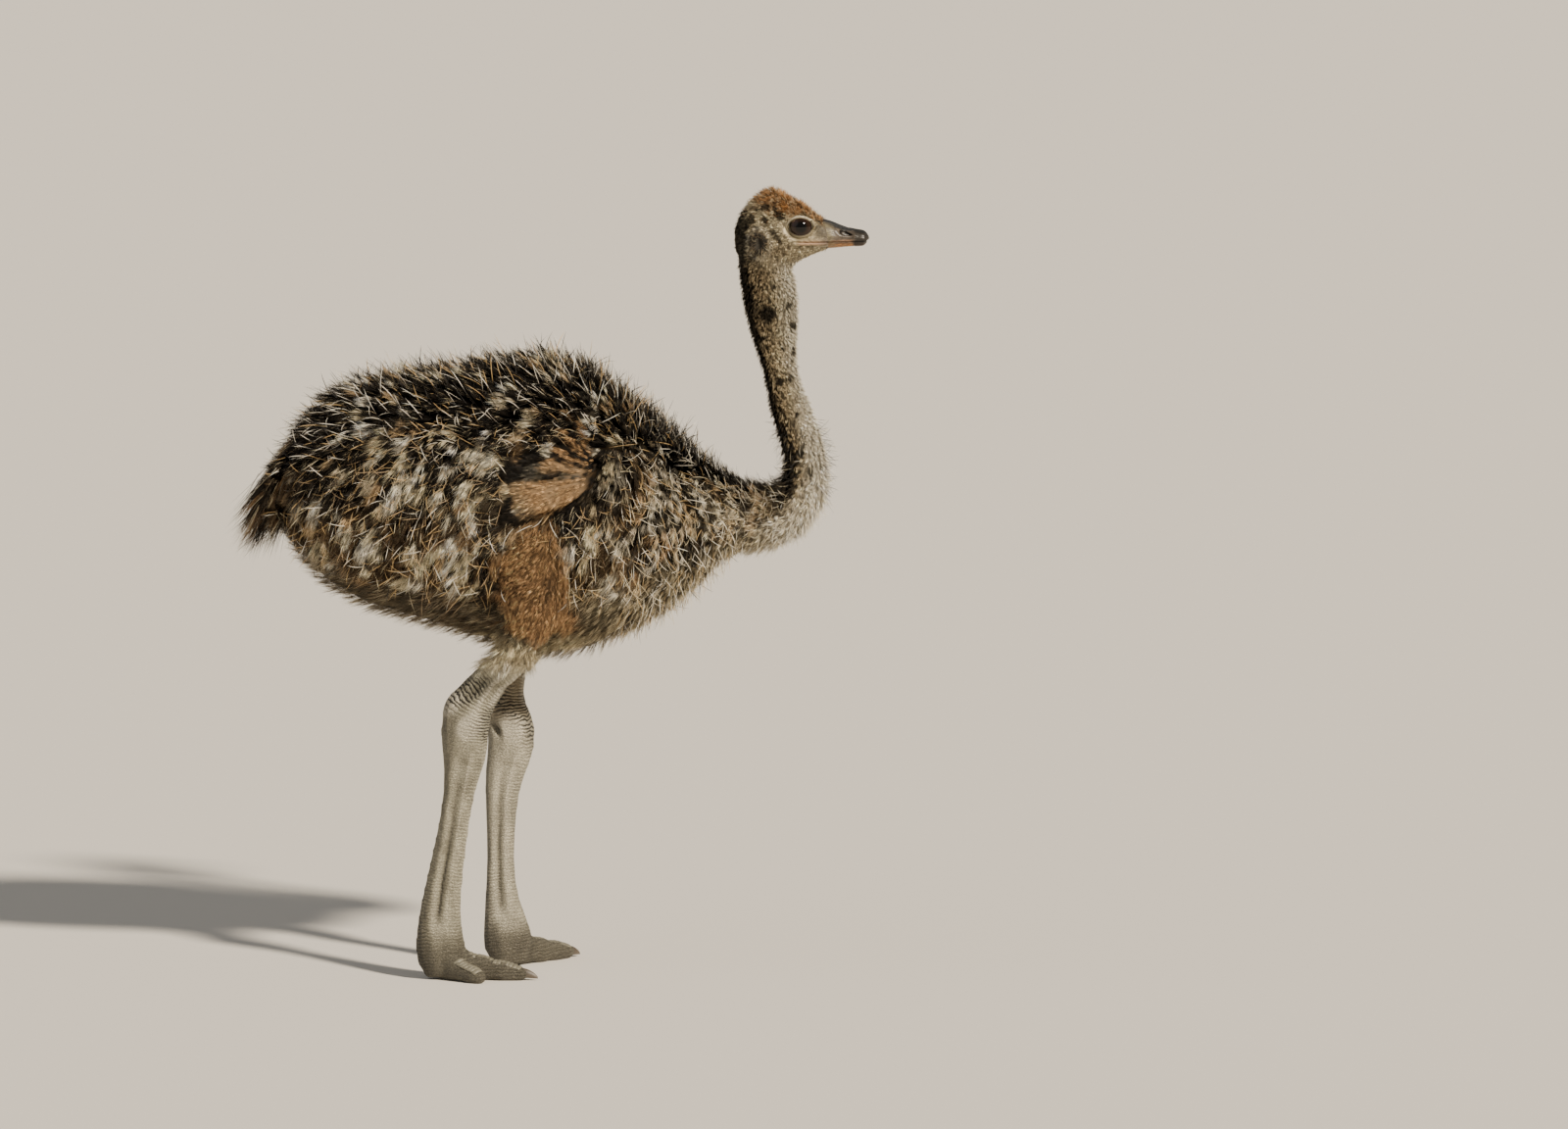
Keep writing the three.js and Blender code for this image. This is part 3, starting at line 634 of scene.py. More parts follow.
def head_colour(p, around):
    """A rufous crown flecked with black, grizzled cheeks, an ear with painted shade in its hollow and
    bare pale lores.
    """
    x, y, z = p.T / MM
    crown = ease(668, 680, z - 0.28 * (208 - x) + 3 * drift(p, 5, 37))
    _, _, tone = clumps(p, 2.6, 57)
    top = blend(ORANGE, RUST, 0.5 + 0.5 * drift(p, 8, 14), CREAM, 0.45 * ease(0.6, 0.9, tone))
    fleck, luck, _ = clumps(p * [1, 1, 1.4], 5.4, 29)
    flecked = ease(654, 660, z) * ease(0.55, 0.38, fleck) * (luck < 0.3)
    head = blend(CREAM, EARTH, 0.25 + 0.3 * drift(p, 4.5, 15), BROWN, 0.6 * ease(0.45, 0.1, tone),
                 top, 0.9 * crown, BLACK, 0.85 * np.maximum(flecked, spotted(p, FLECKS)),
                 BLACK, 0.92 * ease(174, 168, x + 4 * drift(p, 5, 38)),
                 BROWN, 0.45 * hill(x, 197, 9) * hill(z, 644, 12),
                 BLACK, 0.9 * hill(x, 176, 9) * hill(z, 630, 10) * (np.abs(y) > 8))
    # a paler ring round each ear, and its hollow painted near-black as shade
    for side in SIDES:
        away = np.linalg.norm((p - EAR_AT[side]) * [1.15, 0.6, 0.85], axis=1) / MM
        head = blend(head, PALE, 0.3 * hill(away, 11.5, 2),
                     SLATE, 0.97 * ease(11, 8, away + 1.2 * drift(p, 3, 84)))
    bare = blend(BARE_FACE, BROWN, 0.25 + 0.25 * drift(p, 2.6, 39),
                 SLATE, 0.75 * hill(x, 234, 6) * hill(z, 661, 6) * (1 + 0.4 * drift(p, 1.5, 40)),
                 LIP_PINK, 0.75 * hill(z, 650.5, 2.4) * ease(GAPE_END / MM, 220, x),
                 BILL_SIDE, 0.85 * ease(228, 243, x + 3 * drift(p, 3, 42)))
    return blend(around, blend(head, bare, zones(p)["face"]), zones(p)["head"])


def leg_colour(p, around):
    """Greige scaled skin, darker on the foot, with painted shade down the back of the leg, in the grooves
    between the bones and in the creases, painted highlights where it stands out, and painted light on its
    inner side below the hock.
    """
    leg = blend(LEG_GREY, LEG_SHADE, 0.34 + 0.3 * drift(p * [1, 1, 0.35], 6, 27) + 0.12 * drift(p, 2, 28))
    for side in SIDES:
        mine, ahead, outward, over = beside_leg(p, side)
        inward, above = mine * ease(0, -9, outward), ease(0, 22, over)
        # painted shade down the back of the leg, from just above the hock; on the inner side painted
        # light below the hock, and tan skin above it
        leg = blend(leg, LEG_SHADE, 0.6 * mine * ease(-5, -13, ahead) * ease(26, 6, over),
                    PALE, 0.25 * inward * (1 - above), TAN, 0.4 * inward * above)
    relief, creased = leg_relief(p)
    # painted shade where the skin lies in, black in the deepest grooves, and a little in the creases;
    # painted highlights where it stands out; the foot darker
    leg = blend(leg, DARK, 0.62 * ease(-0.8, -3.8, relief) + 0.12 * creased,
                BLACK, 0.8 * ease(-3.7, -4.4, relief), PALE, 0.5 * ease(0.1, 1.0, relief),
                blend(LEG_SHADE, DARK, 0.5), 0.85 * ease(54, 20, p[:, 2] / MM + 4 * drift(p, 9, 85)))
    return blend(around, leg, zones(p)["leg"])


def markings(p):
    """The colour of the coat at each place, and of the skin under it."""
    x, y, z = p.T / MM
    trousers = ease(320, 298, z) * ease(26, 36, np.abs(y)) * (x < 40) * (1 - thigh_share(p))
    colour = blend(thigh_colour(p, wing_colour(p, body_colour(p))),
                   blend(CREAM, EARTH, 0.3 + 0.35 * drift(p, 8, 2)), trousers)
    colour = blend(colour, neck_colour(p, colour), zones(p)["neck"])
    return np.clip(leg_colour(p, head_colour(p, colour)), 0, 1)


def tint(mesh, colours):
    """Gives a mesh its own colour at each vertex."""
    layer = mesh.color_attributes.new("Tint", "FLOAT_COLOR", "POINT")
    values = np.ones((len(mesh.vertices), 4))
    values[:, :3] = np.clip(colours, 0, 1)
    layer.data.foreach_set("color", values.ravel())


def add_node(tree, kind, settings=None, **links):
    """Adds a node, with plain values on its settings and sockets and links from other sockets."""
    node = tree.nodes.new(kind)
    for name, value in (settings or {}).items():
        setattr(node, name, value)
    for name, value in links.items():
        socket = node.inputs[int(name[1:])] if name[0] == "_" else node.inputs[name.replace("_", " ")]
        if isinstance(value, bpy.types.NodeSocket):
            tree.links.new(value, socket)
        else:
            socket.default_value = value
    return node


def material(name):
    made = bpy.data.materials.new(name)
    made.use_nodes = True
    made.node_tree.nodes.clear()
    return made, made.node_tree


def finish_material(tree, shader):
    out = tree.nodes.new("ShaderNodeOutputMaterial")
    tree.links.new(shader.outputs[0], out.inputs[0])


# Scaled skin: dry keratin, matt, with a soft shine where the scales are worn smooth. Small scales
# lie in rings round the leg, with deeper creases across its bends; the face has only fine pores.
SCALE_WIDE = 2.6  # mm
SCALE_HIGH = 1.0  # mm
CREASE_STEP = 3.0 * MM
CREASE_SWAY = (7 * MM, 11.0)  # over what length the creases wander, and how far, in radians
CREASE_DEEP = 4.0  # how deep they are beside the scales
PORE = 1.1 * MM
PORE_DEEP = 0.8
EDGE_DARK = 0.48  # how far the scales' edges are darkened
# painted shade where the coat's roots shade the skin, darkening its colour: most on the body, less where
# the hair is short and pale
coat_shade = ease(0.6 * MM, 1.3 * MM, coat_depth(co))
coat_shade = coat_shade * (1 - (co[:, 2] > 600 * MM) * ease(1.4, 1.15, from_eye(co)))
flap = wing_share(co) * ease(WING_ROOT[0] - 8 * MM, WING_ROOT[0] - 26 * MM, co[:, 0])
neck_run, neck_turn, _ = round_neck(co)
shown = [np.maximum(0.2 * thigh_share(co), 0.42 * flap), 0.17 * zones(co)["head"],
         zones(co)["neck"] * ease(2.4, 1.5, neck_turn) * (0.13 + 0.22 * ease(0.6, 0.4, neck_run)),
         0.2 * ease(2.15, 2.55, round_body(co)) * (co[:, 0] < 150 * MM),
         0.6 * ease(306 * MM, 286 * MM, co[:, 2])]
shown += [0.5 * hill(np.linalg.norm(co - EAR_AT[side], axis=1), 0, 6 * MM) for side in SIDES]
for share in shown:
    coat_shade = coat_shade * (1 - share)
# the skin's colours darkened by the coat's painted shade
tint(mesh, markings(co) * (1 - 0.96 * coat_shade)[:, None])
for name, values in (("Scaled", zones(co)["leg"]), ("Creased", leg_creases), ("Run", down_leg(co)),
                     ("Gleam", 0.4 * (1 - coat_shade))):
    layer = mesh.attributes.new(name, "FLOAT", "POINT")
    layer.data.foreach_set("value", values)
bare_skin, tree = material("bare_scaled_skin")
tone, scaled, creased, run, gleam = (
    add_node(tree, "ShaderNodeAttribute", {"attribute_name": name}).outputs[value]
    for name, value in (("Tint", "Color"), ("Scaled", "Fac"), ("Creased", "Fac"), ("Run", "Fac"),
                        ("Gleam", "Fac")))
object_place = add_node(tree, "ShaderNodeTexCoord").outputs["Object"]
ringed = add_node(tree, "ShaderNodeMapping", Vector=object_place,
                  Scale=(1 / SCALE_WIDE, 1 / SCALE_WIDE, 1 / SCALE_HIGH))
scales = add_node(tree, "ShaderNodeTexVoronoi", {"feature": "DISTANCE_TO_EDGE"},
                  Vector=ringed.outputs[0], Scale=1 / MM)
pores = add_node(tree, "ShaderNodeTexNoise", Vector=object_place, Scale=1 / PORE, Detail=4.0)
sway = add_node(tree, "ShaderNodeTexNoise", Vector=object_place, Scale=1 / CREASE_SWAY[0],
                Detail=3.0)
swayed = add_node(tree, "ShaderNodeMath", {"operation": "MULTIPLY"}, _0=sway.outputs["Fac"],
                  _1=CREASE_SWAY[1])
turned = add_node(tree, "ShaderNodeMath", {"operation": "MULTIPLY_ADD"}, _0=run,
                  _1=2 * math.pi / CREASE_STEP, _2=swayed.outputs[0])
wave = add_node(tree, "ShaderNodeMath", {"operation": "SINE"}, _0=turned.outputs[0])
folds = add_node(tree, "ShaderNodeMapRange", _0=wave.outputs[0], _1=-1.0, _2=1.0)
edge = add_node(tree, "ShaderNodeMapRange", _0=scales.outputs["Distance"], _1=0.0, _2=0.2)
on_leg = add_node(tree, "ShaderNodeMath", {"operation": "MULTIPLY"}, _0=edge.outputs[0], _1=scaled)
height = add_node(tree, "ShaderNodeMath", {"operation": "MULTIPLY_ADD"}, _0=pores.outputs["Fac"],
                  _1=PORE_DEEP, _2=on_leg.outputs[0])
crease = add_node(tree, "ShaderNodeMath", {"operation": "MULTIPLY"}, _0=folds.outputs[0], _1=creased)
deep = add_node(tree, "ShaderNodeMath", {"operation": "MULTIPLY_ADD"}, _0=crease.outputs[0],
                _1=CREASE_DEEP, _2=height.outputs[0])
bump = add_node(tree, "ShaderNodeBump", Strength=1.0, Distance=0.5 * MM, Height=deep.outputs[0])
# painted shade in the creases: the colour darkens along each fold, as far as the skin is creased
painted_crease_shade = add_node(tree, "ShaderNodeMapRange", _0=folds.outputs[0], _1=0.08, _2=0.5, _3=0.04, _4=1.0)
shade_folds = add_node(tree, "ShaderNodeMix", {"data_type": "RGBA", "blend_type": "MULTIPLY"},
                       _0=creased, _6=tone, _7=painted_crease_shade.outputs[0])
edge_share = add_node(tree, "ShaderNodeMath", {"operation": "MULTIPLY"}, _0=scaled, _1=EDGE_DARK)
shade = add_node(tree, "ShaderNodeMix", {"data_type": "RGBA", "blend_type": "MULTIPLY"},
                 _0=edge_share.outputs[0], _6=shade_folds.outputs[2], _7=edge.outputs[0])
shader = add_node(tree, "ShaderNodeBsdfPrincipled", Base_Color=shade.outputs[2], Roughness=0.6,
                  Normal=bump.outputs[0], Specular_IOR_Level=gleam)
finish_material(tree, shader)
mesh.materials.clear()
mesh.materials.append(bare_skin)
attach(skin, "root")
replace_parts(skin, *FLESH)

# ---------------------------------------------------------------- eyes
# A wet dark globe in each socket, almost all of it iris: dark brown with fine spokes round a black
# pupil. Made as rings round the line of the gaze, so that pupil and iris have true round edges.
PUPIL = 4.6 * MM
IRIS = 10.4 * MM
EYE_RINGS = 40
EYE_SPOKES = 72
CORNEA = 0.35 * MM  # how far it bulges


def surface(name, grid, ring_along=False):
    """A mesh over rows of points that each close on themselves. Its ends get flat caps, unless the
    rows join up into a ring."""
    rows, columns = grid.shape[:2]
    points = [Vector(p) for p in grid.reshape(-1, 3)]
    faces = []
    for i in range(rows if ring_along else rows - 1):
        here, there = i * columns, (i + 1) % rows * columns
        for j in range(columns):
            k = (j + 1) % columns
            faces.append((here + j, here + k, there + k, there + j))
    for row in () if ring_along else (0, rows - 1):
        points.append(Vector(grid[row].mean(axis=0)))
        for j in range(columns):
            faces.append((row * columns + j, row * columns + (j + 1) % columns, len(points) - 1))
    made = bpy.data.meshes.new(name)
    made.from_pydata(points, [], faces)
    shape = bmesh.new()
    shape.from_mesh(made)
    bmesh.ops.recalc_face_normals(shape, faces=shape.faces)
    shape.to_mesh(made)
    shape.free()
    made.shade_smooth()
    return made


def place_piece(name, made, finish, slot, *stands_for):
    """Puts a finished mesh into the scene as a piece of the bird."""
    piece = bpy.data.objects.new(name, made)
    bpy.context.scene.collection.objects.link(piece)
    made.materials.append(finish)
    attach(piece, "root")
    if stands_for:
        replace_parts(piece, *stands_for)
    return piece


# Cornea: wet and clear over the iris, so the whole globe is mirror-smooth.
wet_eye, tree = material("wet_dark_eye")
tone = add_node(tree, "ShaderNodeAttribute", {"attribute_name": "Tint"})
shader = add_node(tree, "ShaderNodeBsdfPrincipled", Base_Color=tone.outputs["Color"], Roughness=0.06,
                  IOR=1.34, Coat_Weight=0.15, Coat_Roughness=0.03)
finish_material(tree, shader)

for side in SIDES:
    lean = np.linspace(0, math.pi, EYE_RINGS + 2)[1:-1][:, None]
    spoke = np.linspace(0, 2 * math.pi, EYE_SPOKES, endpoint=False)[None]
    swell = EYE_RADIUS + CORNEA * np.exp(-((lean / 0.5) ** 2))
    ahead = swell * np.sin(lean) * np.cos(spoke)
    above = swell * np.sin(lean) * np.sin(spoke)
    out = swell * np.cos(lean) * np.ones_like(spoke)
    globe = surface(f"eyeball_{side}", from_eye_plane(ahead, above, out, side))
    ahead, above, out = eye_plane(places(globe), side)
    far = np.where(out > 0, np.hypot(ahead - 0.4 * MM, above), EYE_RADIUS)
    spokes = 0.5 + 0.5 * np.sin(np.arctan2(above, ahead) * 23 + 2 * np.sin(far / MM * 2.1))
    tint(globe, blend("#120c08", "#2a1b11", 0.35 * spokes + 0.65 * ease(PUPIL, 0.75 * IRIS, far),
                      "#0c0907", ease(0.78 * IRIS, 0.95 * IRIS, far),
                      "#050404", ease(PUPIL + 0.35 * MM, PUPIL - 0.35 * MM, far)))
    place_piece(f"eyeball_{side}", globe, wet_eye, "eye", f"eye_{side}")

# ---------------------------------------------------------------- eyelids
# Bare pale lids in two folds round each eye, thick at the brow, drawn out to a corner before and
# behind. Each is one band from inside the opening, over its wet rim, to where it meets the skin.

# distance out from the rim of the opening, and height over the ball or the skin, in mm; the last
# point closes the band from beneath
LID_PROFILE = np.array([
    (-0.5, -0.9), (-0.1, -0.1), (0.0, 0.3), (0.2, 0.6), (0.5, 0.65), (0.75, 0.4), (0.9, 0.12),
    (1.1, 0.4), (1.5, 0.75), (1.9, 0.75), (2.2, 0.42), (2.4, 0.1), (2.65, 0.32), (3.0, 0.32),
    (3.3, 0.05), (3.6, -0.5), (1.7, -1.8),
])
LID_SPOKES = 96
LID = "#93896b"


def skin_height(ahead, above, side):
    """How far the skin stands out from the eye's centre, found from its nearest points."""
    near_ahead, near_above, near_out = eye_plane(co, side)
    near = (near_out > 0) & (np.hypot(near_ahead, near_above) < 22 * MM) & (
        np.hypot(near_ahead / EYE_OPENING[0], near_above / EYE_OPENING[1]) > 1.12)
    cloud = np.stack([near_ahead[near], near_above[near]], axis=1)
    height = near_out[near]
    flat = np.stack([ahead.ravel(), above.ravel()], axis=1)
    gap = ((flat[:, None] - cloud[None]) ** 2).sum(axis=2)
    nearest = np.argpartition(gap, 6, axis=1)[:, :6]
    weight = 1 / (np.take_along_axis(gap, nearest, axis=1) + (0.3 * MM) ** 2)
    return ((height[nearest] * weight).sum(axis=1) / weight.sum(axis=1)).reshape(ahead.shape)


def keratin(name, roughness, grain=0, detail=0, along=None, shades=None, bump=None, **sockets):
    """A dry skin, horn or feather in the mesh's own colours. Its grain, in mm and drawn out along
    the growth, changes them over a range of shades, and stands up with a strength and height."""
    made, tree = material(name)
    colour = add_node(tree, "ShaderNodeAttribute", {"attribute_name": "Tint"}).outputs["Color"]
    if grain:
        place = add_node(tree, "ShaderNodeTexCoord").outputs["Object"]
        if along:
            place = add_node(tree, "ShaderNodeMapping", Vector=place, Scale=along).outputs[0]
        noise = add_node(tree, "ShaderNodeTexNoise", Vector=place, Scale=1 / (grain * MM),
                         Detail=detail).outputs["Fac"]
    if shades:
        light = add_node(tree, "ShaderNodeMapRange", _0=noise, _1=0.3, _2=0.7, _3=shades[0], _4=shades[1])
        colour = add_node(tree, "ShaderNodeMix", {"data_type": "RGBA", "blend_type": "MULTIPLY"},
                          _0=1.0, _6=colour, _7=light.outputs[0]).outputs[2]
    if bump:
        sockets["Normal"] = add_node(tree, "ShaderNodeBump", Strength=bump[0], Distance=bump[1] * MM,
                                     Height=noise).outputs[0]
    finish_material(tree, add_node(tree, "ShaderNodeBsdfPrincipled", Base_Color=colour,
                                   Roughness=roughness, **sockets))
    return made


# Lid skin: thin, dry and finely creased, paler than the face round it.
lid_skin = keratin("creased_lid_skin", 0.5, 0.9, 3.0, bump=(0.35, 0.25))

for side in SIDES:
    spoke = np.linspace(0, 2 * math.pi, LID_SPOKES, endpoint=False)
    corner = hill(spoke, 0, 0.2) + hill(spoke, 2 * math.pi, 0.2) + hill(spoke, math.pi, 0.22)
    away, over = LID_PROFILE[:, :1] * MM, LID_PROFILE[:, 1:] * MM
    brow = 1 + 0.12 * np.sin(spoke)[None] * (away > 1.0 * MM)
    stretch = 1 - 0.14 * np.abs(np.cos(spoke))[None] * (away > 1.0 * MM)
    ahead = (EYE_OPENING[0] + 0.7 * MM * corner + away * brow * stretch) * np.cos(spoke)
    above = (EYE_OPENING[1] + away * brow) * np.sin(spoke)
    ball = eyeball_height(ahead, above)
    settled = ease(0.5 * MM, 2.2 * MM, away) * np.ones_like(ahead)
    under = ball + settled * (skin_height(ahead, above, side) - ball)
    lids = surface(f"eyelids_{side}", from_eye_plane(ahead, above, under + over, side), ring_along=True)
    row = np.repeat(np.arange(len(LID_PROFILE)), LID_SPOKES)
    p = places(lids)
    # painted shade: dark inside the opening and on its rim, in the creases between the folds, and more on
    # the lower and the rear side; painted light on the top of the outer fold
    low = np.tile(np.sin(spoke), len(LID_PROFILE))
    behind = np.tile(ease(-0.55, -0.95, np.cos(spoke)), len(LID_PROFILE))
    crease = 0.97 * (row < 4) + 0.85 * ((row == 5) | (row == 6)) + 0.6 * (row == 11)
    crease = np.clip(crease + 0.5 * behind + 0.3 * ease(-0.3, -0.9, low), 0, 0.95)
    tint(lids, blend(LID, EARTH, 0.3 + 0.3 * drift(p, 2.2, 61),
                     PALE, 0.4 * ((row >= 7) & (row <= 10)) * ease(-0.2, 0.6, low), DARK, crease))
    place_piece(f"eyelids_{side}", lids, lid_skin, "head_down")

# ---------------------------------------------------------------- bill
# Two horny sheaths, broad and flat, with a rounded nail at the tip. A ridge runs down the middle of
# the upper one, with a groove either side of it that holds the nostril.
BILL_STATIONS = 90
BILL_ROUND = 72
BILL_ROOT_IN = 2.5 * MM  # how far the sheaths reach back under the skin
CULMEN = "#2b2d30"
NAIL_DARK = "#21201e"
BILL_LIGHT = "#61574b"
MANDIBLE_ORANGE = "#b0753a"
# share of the length, and the height and half width there as shares of the root's
UPPER_SHAPE = np.array([
    (0.0, 1.0, 1.0), (0.2, 0.87, 0.94), (0.4, 0.69, 0.79), (0.6, 0.54, 0.66), (0.75, 0.47, 0.61),
    (0.87, 0.42, 0.57), (0.95, 0.34, 0.5), (1.0, 0.26, 0.42),
])
LOWER_SHAPE = np.array([
    (0.0, 1.0, 1.0), (0.2, 0.93, 0.95), (0.4, 0.84, 0.8), (0.6, 0.76, 0.68), (0.8, 0.7, 0.62),
    (0.9, 0.66, 0.58), (1.0, 0.5, 0.46),
])


def curve(rows, t):
    """Smooth values at t through rows of a place and the values there."""
    at, values = rows[:, 0], rows[:, 1:]
    slopes = np.gradient(values, at, axis=0)
    i = np.clip(np.searchsorted(at, t) - 1, 0, len(at) - 2)
    step = (at[i + 1] - at[i])[:, None]
    s = (t[:, None] - at[i][:, None]) / step
    return (values[i] * (1 + 2 * s) * (1 - s) ** 2 + values[i + 1] * s * s * (3 - 2 * s)
            + step * (slopes[i] * s * (1 - s) ** 2 - slopes[i + 1] * s * s * (1 - s)))


# Horn: keratin, satin and slightly streaked along its growth, polished by use at the tip.
horn = keratin("satin_bill_horn", 0.33, 1.1, 5.0, along=(0.25, 1.0, 1.0), shades=(0.5, 1.4),
               bump=(0.6, 0.35), Specular_IOR_Level=0.26)

station = 1 - (1 - np.linspace(0, 1, BILL_STATIONS)) ** 1.35
arch = np.linspace(-math.pi / 2, math.pi / 2, BILL_ROUND)
TIP_SHARE = 0.12  # of the bill's length, taken by its rounded end
TIP_HEIGHT = 0.34  # of the height of a sheath, where its foremost point is
TIP_STATIONS = 24
station = np.concatenate([station[station < 1 - TIP_SHARE], 1 - TIP_SHARE + TIP_SHARE * np.sin(
    np.linspace(0, 0.49 * math.pi, TIP_STATIONS))])
tip_round = np.sqrt(1 - ((station - 1 + TIP_SHARE) / TIP_SHARE).clip(0, 1) ** 2)[:, None]


def half_shell(low, high, shape, ridge):
    """Grid of the outer arch of one sheath; ridge gives its relief in mm at each x, angle and z."""
    height, half = (curve(shape, station) * [high.z - low.z, high.y]).T
    x = (low.x - BILL_ROOT_IN + station * (high.x - low.x + BILL_ROOT_IN))[:, None] + 0 * arch
    y = (half[:, None] * tip_round) * np.sign(arch) * np.abs(np.sin(arch)) ** 0.85
    z = height[:, None] * np.cos(arch).clip(0) ** 0.72
    nose = TIP_HEIGHT * height[:, None]
    z = nose + (z - nose) * tip_round
    swell = ridge(x, arch[None] + 0 * x, z) * MM * tip_round
    y = y + swell * np.sin(arch)
    z = z + swell * np.cos(arch)
    return np.stack([x, y, z], axis=2)


upper_low, upper_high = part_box("bill_upper")
upper_long = upper_high.x - upper_low.x
nostril = np.array([upper_low.x + 0.47 * upper_long, upper_low.z + 0.37 * (upper_high.z - upper_low.z)])
NOSTRIL_HALF = (5.6, 2.0)  # mm
NAIL_STARTS = upper_low.x + 0.63 * upper_long


def in_nostril(x, z):
    """1 at the rim of the nostril's hole and less inside; it narrows forwards."""
    ahead, above = (x - nostril[0]) / MM, (z - nostril[1]) / MM + 0.28 * (x - nostril[0]) / MM
    return np.hypot(ahead / NOSTRIL_HALF[0], above / (NOSTRIL_HALF[1] * (1 - 0.07 * ahead)))


def upper_relief(x, turn, z):
    turn, past_root, past_nail = np.abs(turn), (x - upper_low.x) / MM, (x - NAIL_STARTS) / MM
    hole = in_nostril(x, z + upper_low.z)
    groove = hill(turn, 0.62, 0.2) * ease(4, 10, past_root) * ease(3, -2, past_nail)
    nail = ease(-1, 1.2, past_nail + 3 * np.cos(turn) ** 4)
    return (0.5 * hill(turn, 0, 0.3) - 0.6 * groove + 0.45 * nail + 0.4 * hill(turn, 1.42, 0.14)
            + 0.4 * hill(hole, 1.5, 0.35) - 2.6 * ease(1.1, 0.55, hole))


outer = half_shell(upper_low, upper_high, UPPER_SHAPE, upper_relief)
outer[:, :, 2] += upper_low.z
palate = outer[:, ::-6].copy()
palate[:, :, 2] = outer[:, :1, 2] - 0.1 * MM + 0.9 * MM * (1 - (palate[:, :, 1] / outer[:, -1:, 1]) ** 2)
upper = surface("bill_upper_sheath", np.concatenate([outer, palate[:, 1:-1]], axis=1))
p = places(upper)
x, y, z = p.T
turn = np.abs(np.arctan2(y, z - upper_low.z))
past_root, past_nail = (x - upper_low.x) / MM, (x - NAIL_STARTS) / MM
root = blend(BARE_FACE, BILL_SIDE, 0.5 + 0.4 * drift(p, 3, 76))
hole = in_nostril(x, z)
nostril_flap = 0.8 * hill(x, nostril[0] - 2.2 * MM, 1.2 * MM) * hill(z, nostril[1] + 0.2 * MM, 0.8 * MM)
# the nostril's hole is painted near-black as its shade; the pale flap at its rear is its own colour
tint(upper, blend(
    BILL_SIDE, BILL_LIGHT, 0.5 + 0.5 * drift(p, 5, 71),
    CULMEN, 0.9 * ease(0.85, 0.5, turn + 0.2 * drift(p * [0.4, 1, 1], 2.5, 72)),
    NAIL_DARK, 0.85 * ease(-2, 3, past_nail + 1.5 * drift(p, 4, 73)),
    LIP_PINK, 0.8 * ease(1.6, 0.7, (z - upper_low.z) / MM) * ease(2, -4, past_nail),
    root, ease(9, 3, past_root + 3 * drift(p, 3, 77)) * ease(0.3, 0.7, turn),
    "#0b0908", 0.95 * ease(1.25, 0.85, hole) * (np.abs(y) > 2 * MM),
    "#77706a", nostril_flap * (hole < 1)))
place_piece("bill_upper_sheath", upper, horn, "bill_horn", "bill_upper")

lower_low, lower_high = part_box("bill_lower")


def lower_relief(x, turn, _):
    turn, nail = np.abs(turn), ease(1, 3, (x - NAIL_STARTS) / MM)
    return 0.3 * nail + 0.35 * hill(turn, 1.4, 0.16) - 0.35 * hill(turn, 1.0, 0.2) * (1 - nail)


outer = half_shell(lower_low, lower_high, LOWER_SHAPE, lower_relief)
outer[:, :, 2] = lower_high.z - 0.3 * MM - outer[:, :, 2]
inner = outer[:, ::-6].copy()
inner[:, :, 2] = outer[:, :1, 2] + 0.1 * MM
lower = surface("bill_lower_sheath", np.concatenate([outer, inner[:, 1:-1]], axis=1))
p = places(lower)
past_root, past_nail = (p[:, 0] - lower_low.x) / MM, (p[:, 0] - NAIL_STARTS) / MM
# its top edge is dark grey: partly the horn's own grey, partly painted shade under the upper sheath
tint(lower, blend(
    MANDIBLE_ORANGE, BILL_LIGHT, 0.4 + 0.35 * drift(p, 4, 74),
    BILL_SIDE, 0.85 * ease(3.2, 2.2, (lower_high.z - p[:, 2]) / MM),
    EARTH, 0.7 * ease(8, 2, past_root + 3 * drift(p, 3, 78)),
    NAIL_DARK, 0.9 * ease(-2, 2, past_nail + 1.5 * drift(p, 4, 75))))
place_piece("bill_lower_sheath", lower, horn, "bill_horn", "bill_lower")

# ---------------------------------------------------------------- claws
# One broad blunt nail on each main toe, curved down to the ground and flat beneath: grey horn that
# has grown out of the toe's end, so its root lies inside the skin.
CLAW_STATIONS = 26
CLAW_ROUND = 28
CLAW_SHAPE = np.array([
    (0.0, 0.86, 0.9), (0.2, 1.0, 1.0), (0.45, 0.93, 0.93), (0.65, 0.76, 0.78), (0.82, 0.54, 0.56),
    (0.93, 0.35, 0.36), (1.0, 0.2, 0.16),
])
CLAW_ROOT_IN = 3 * MM  # how far it reaches back into the toe
CLAW_UNDER = 1.2 * MM  # it is laid out from this far below the nail's solid
CLAW_HORN = "#4a4238"

# Claw: thick horn, worn dull by the ground, with a rough grain.
dark_horn = keratin("worn_claw_horn", 0.45, 0.8, 5.0, bump=(0.4, 0.3))

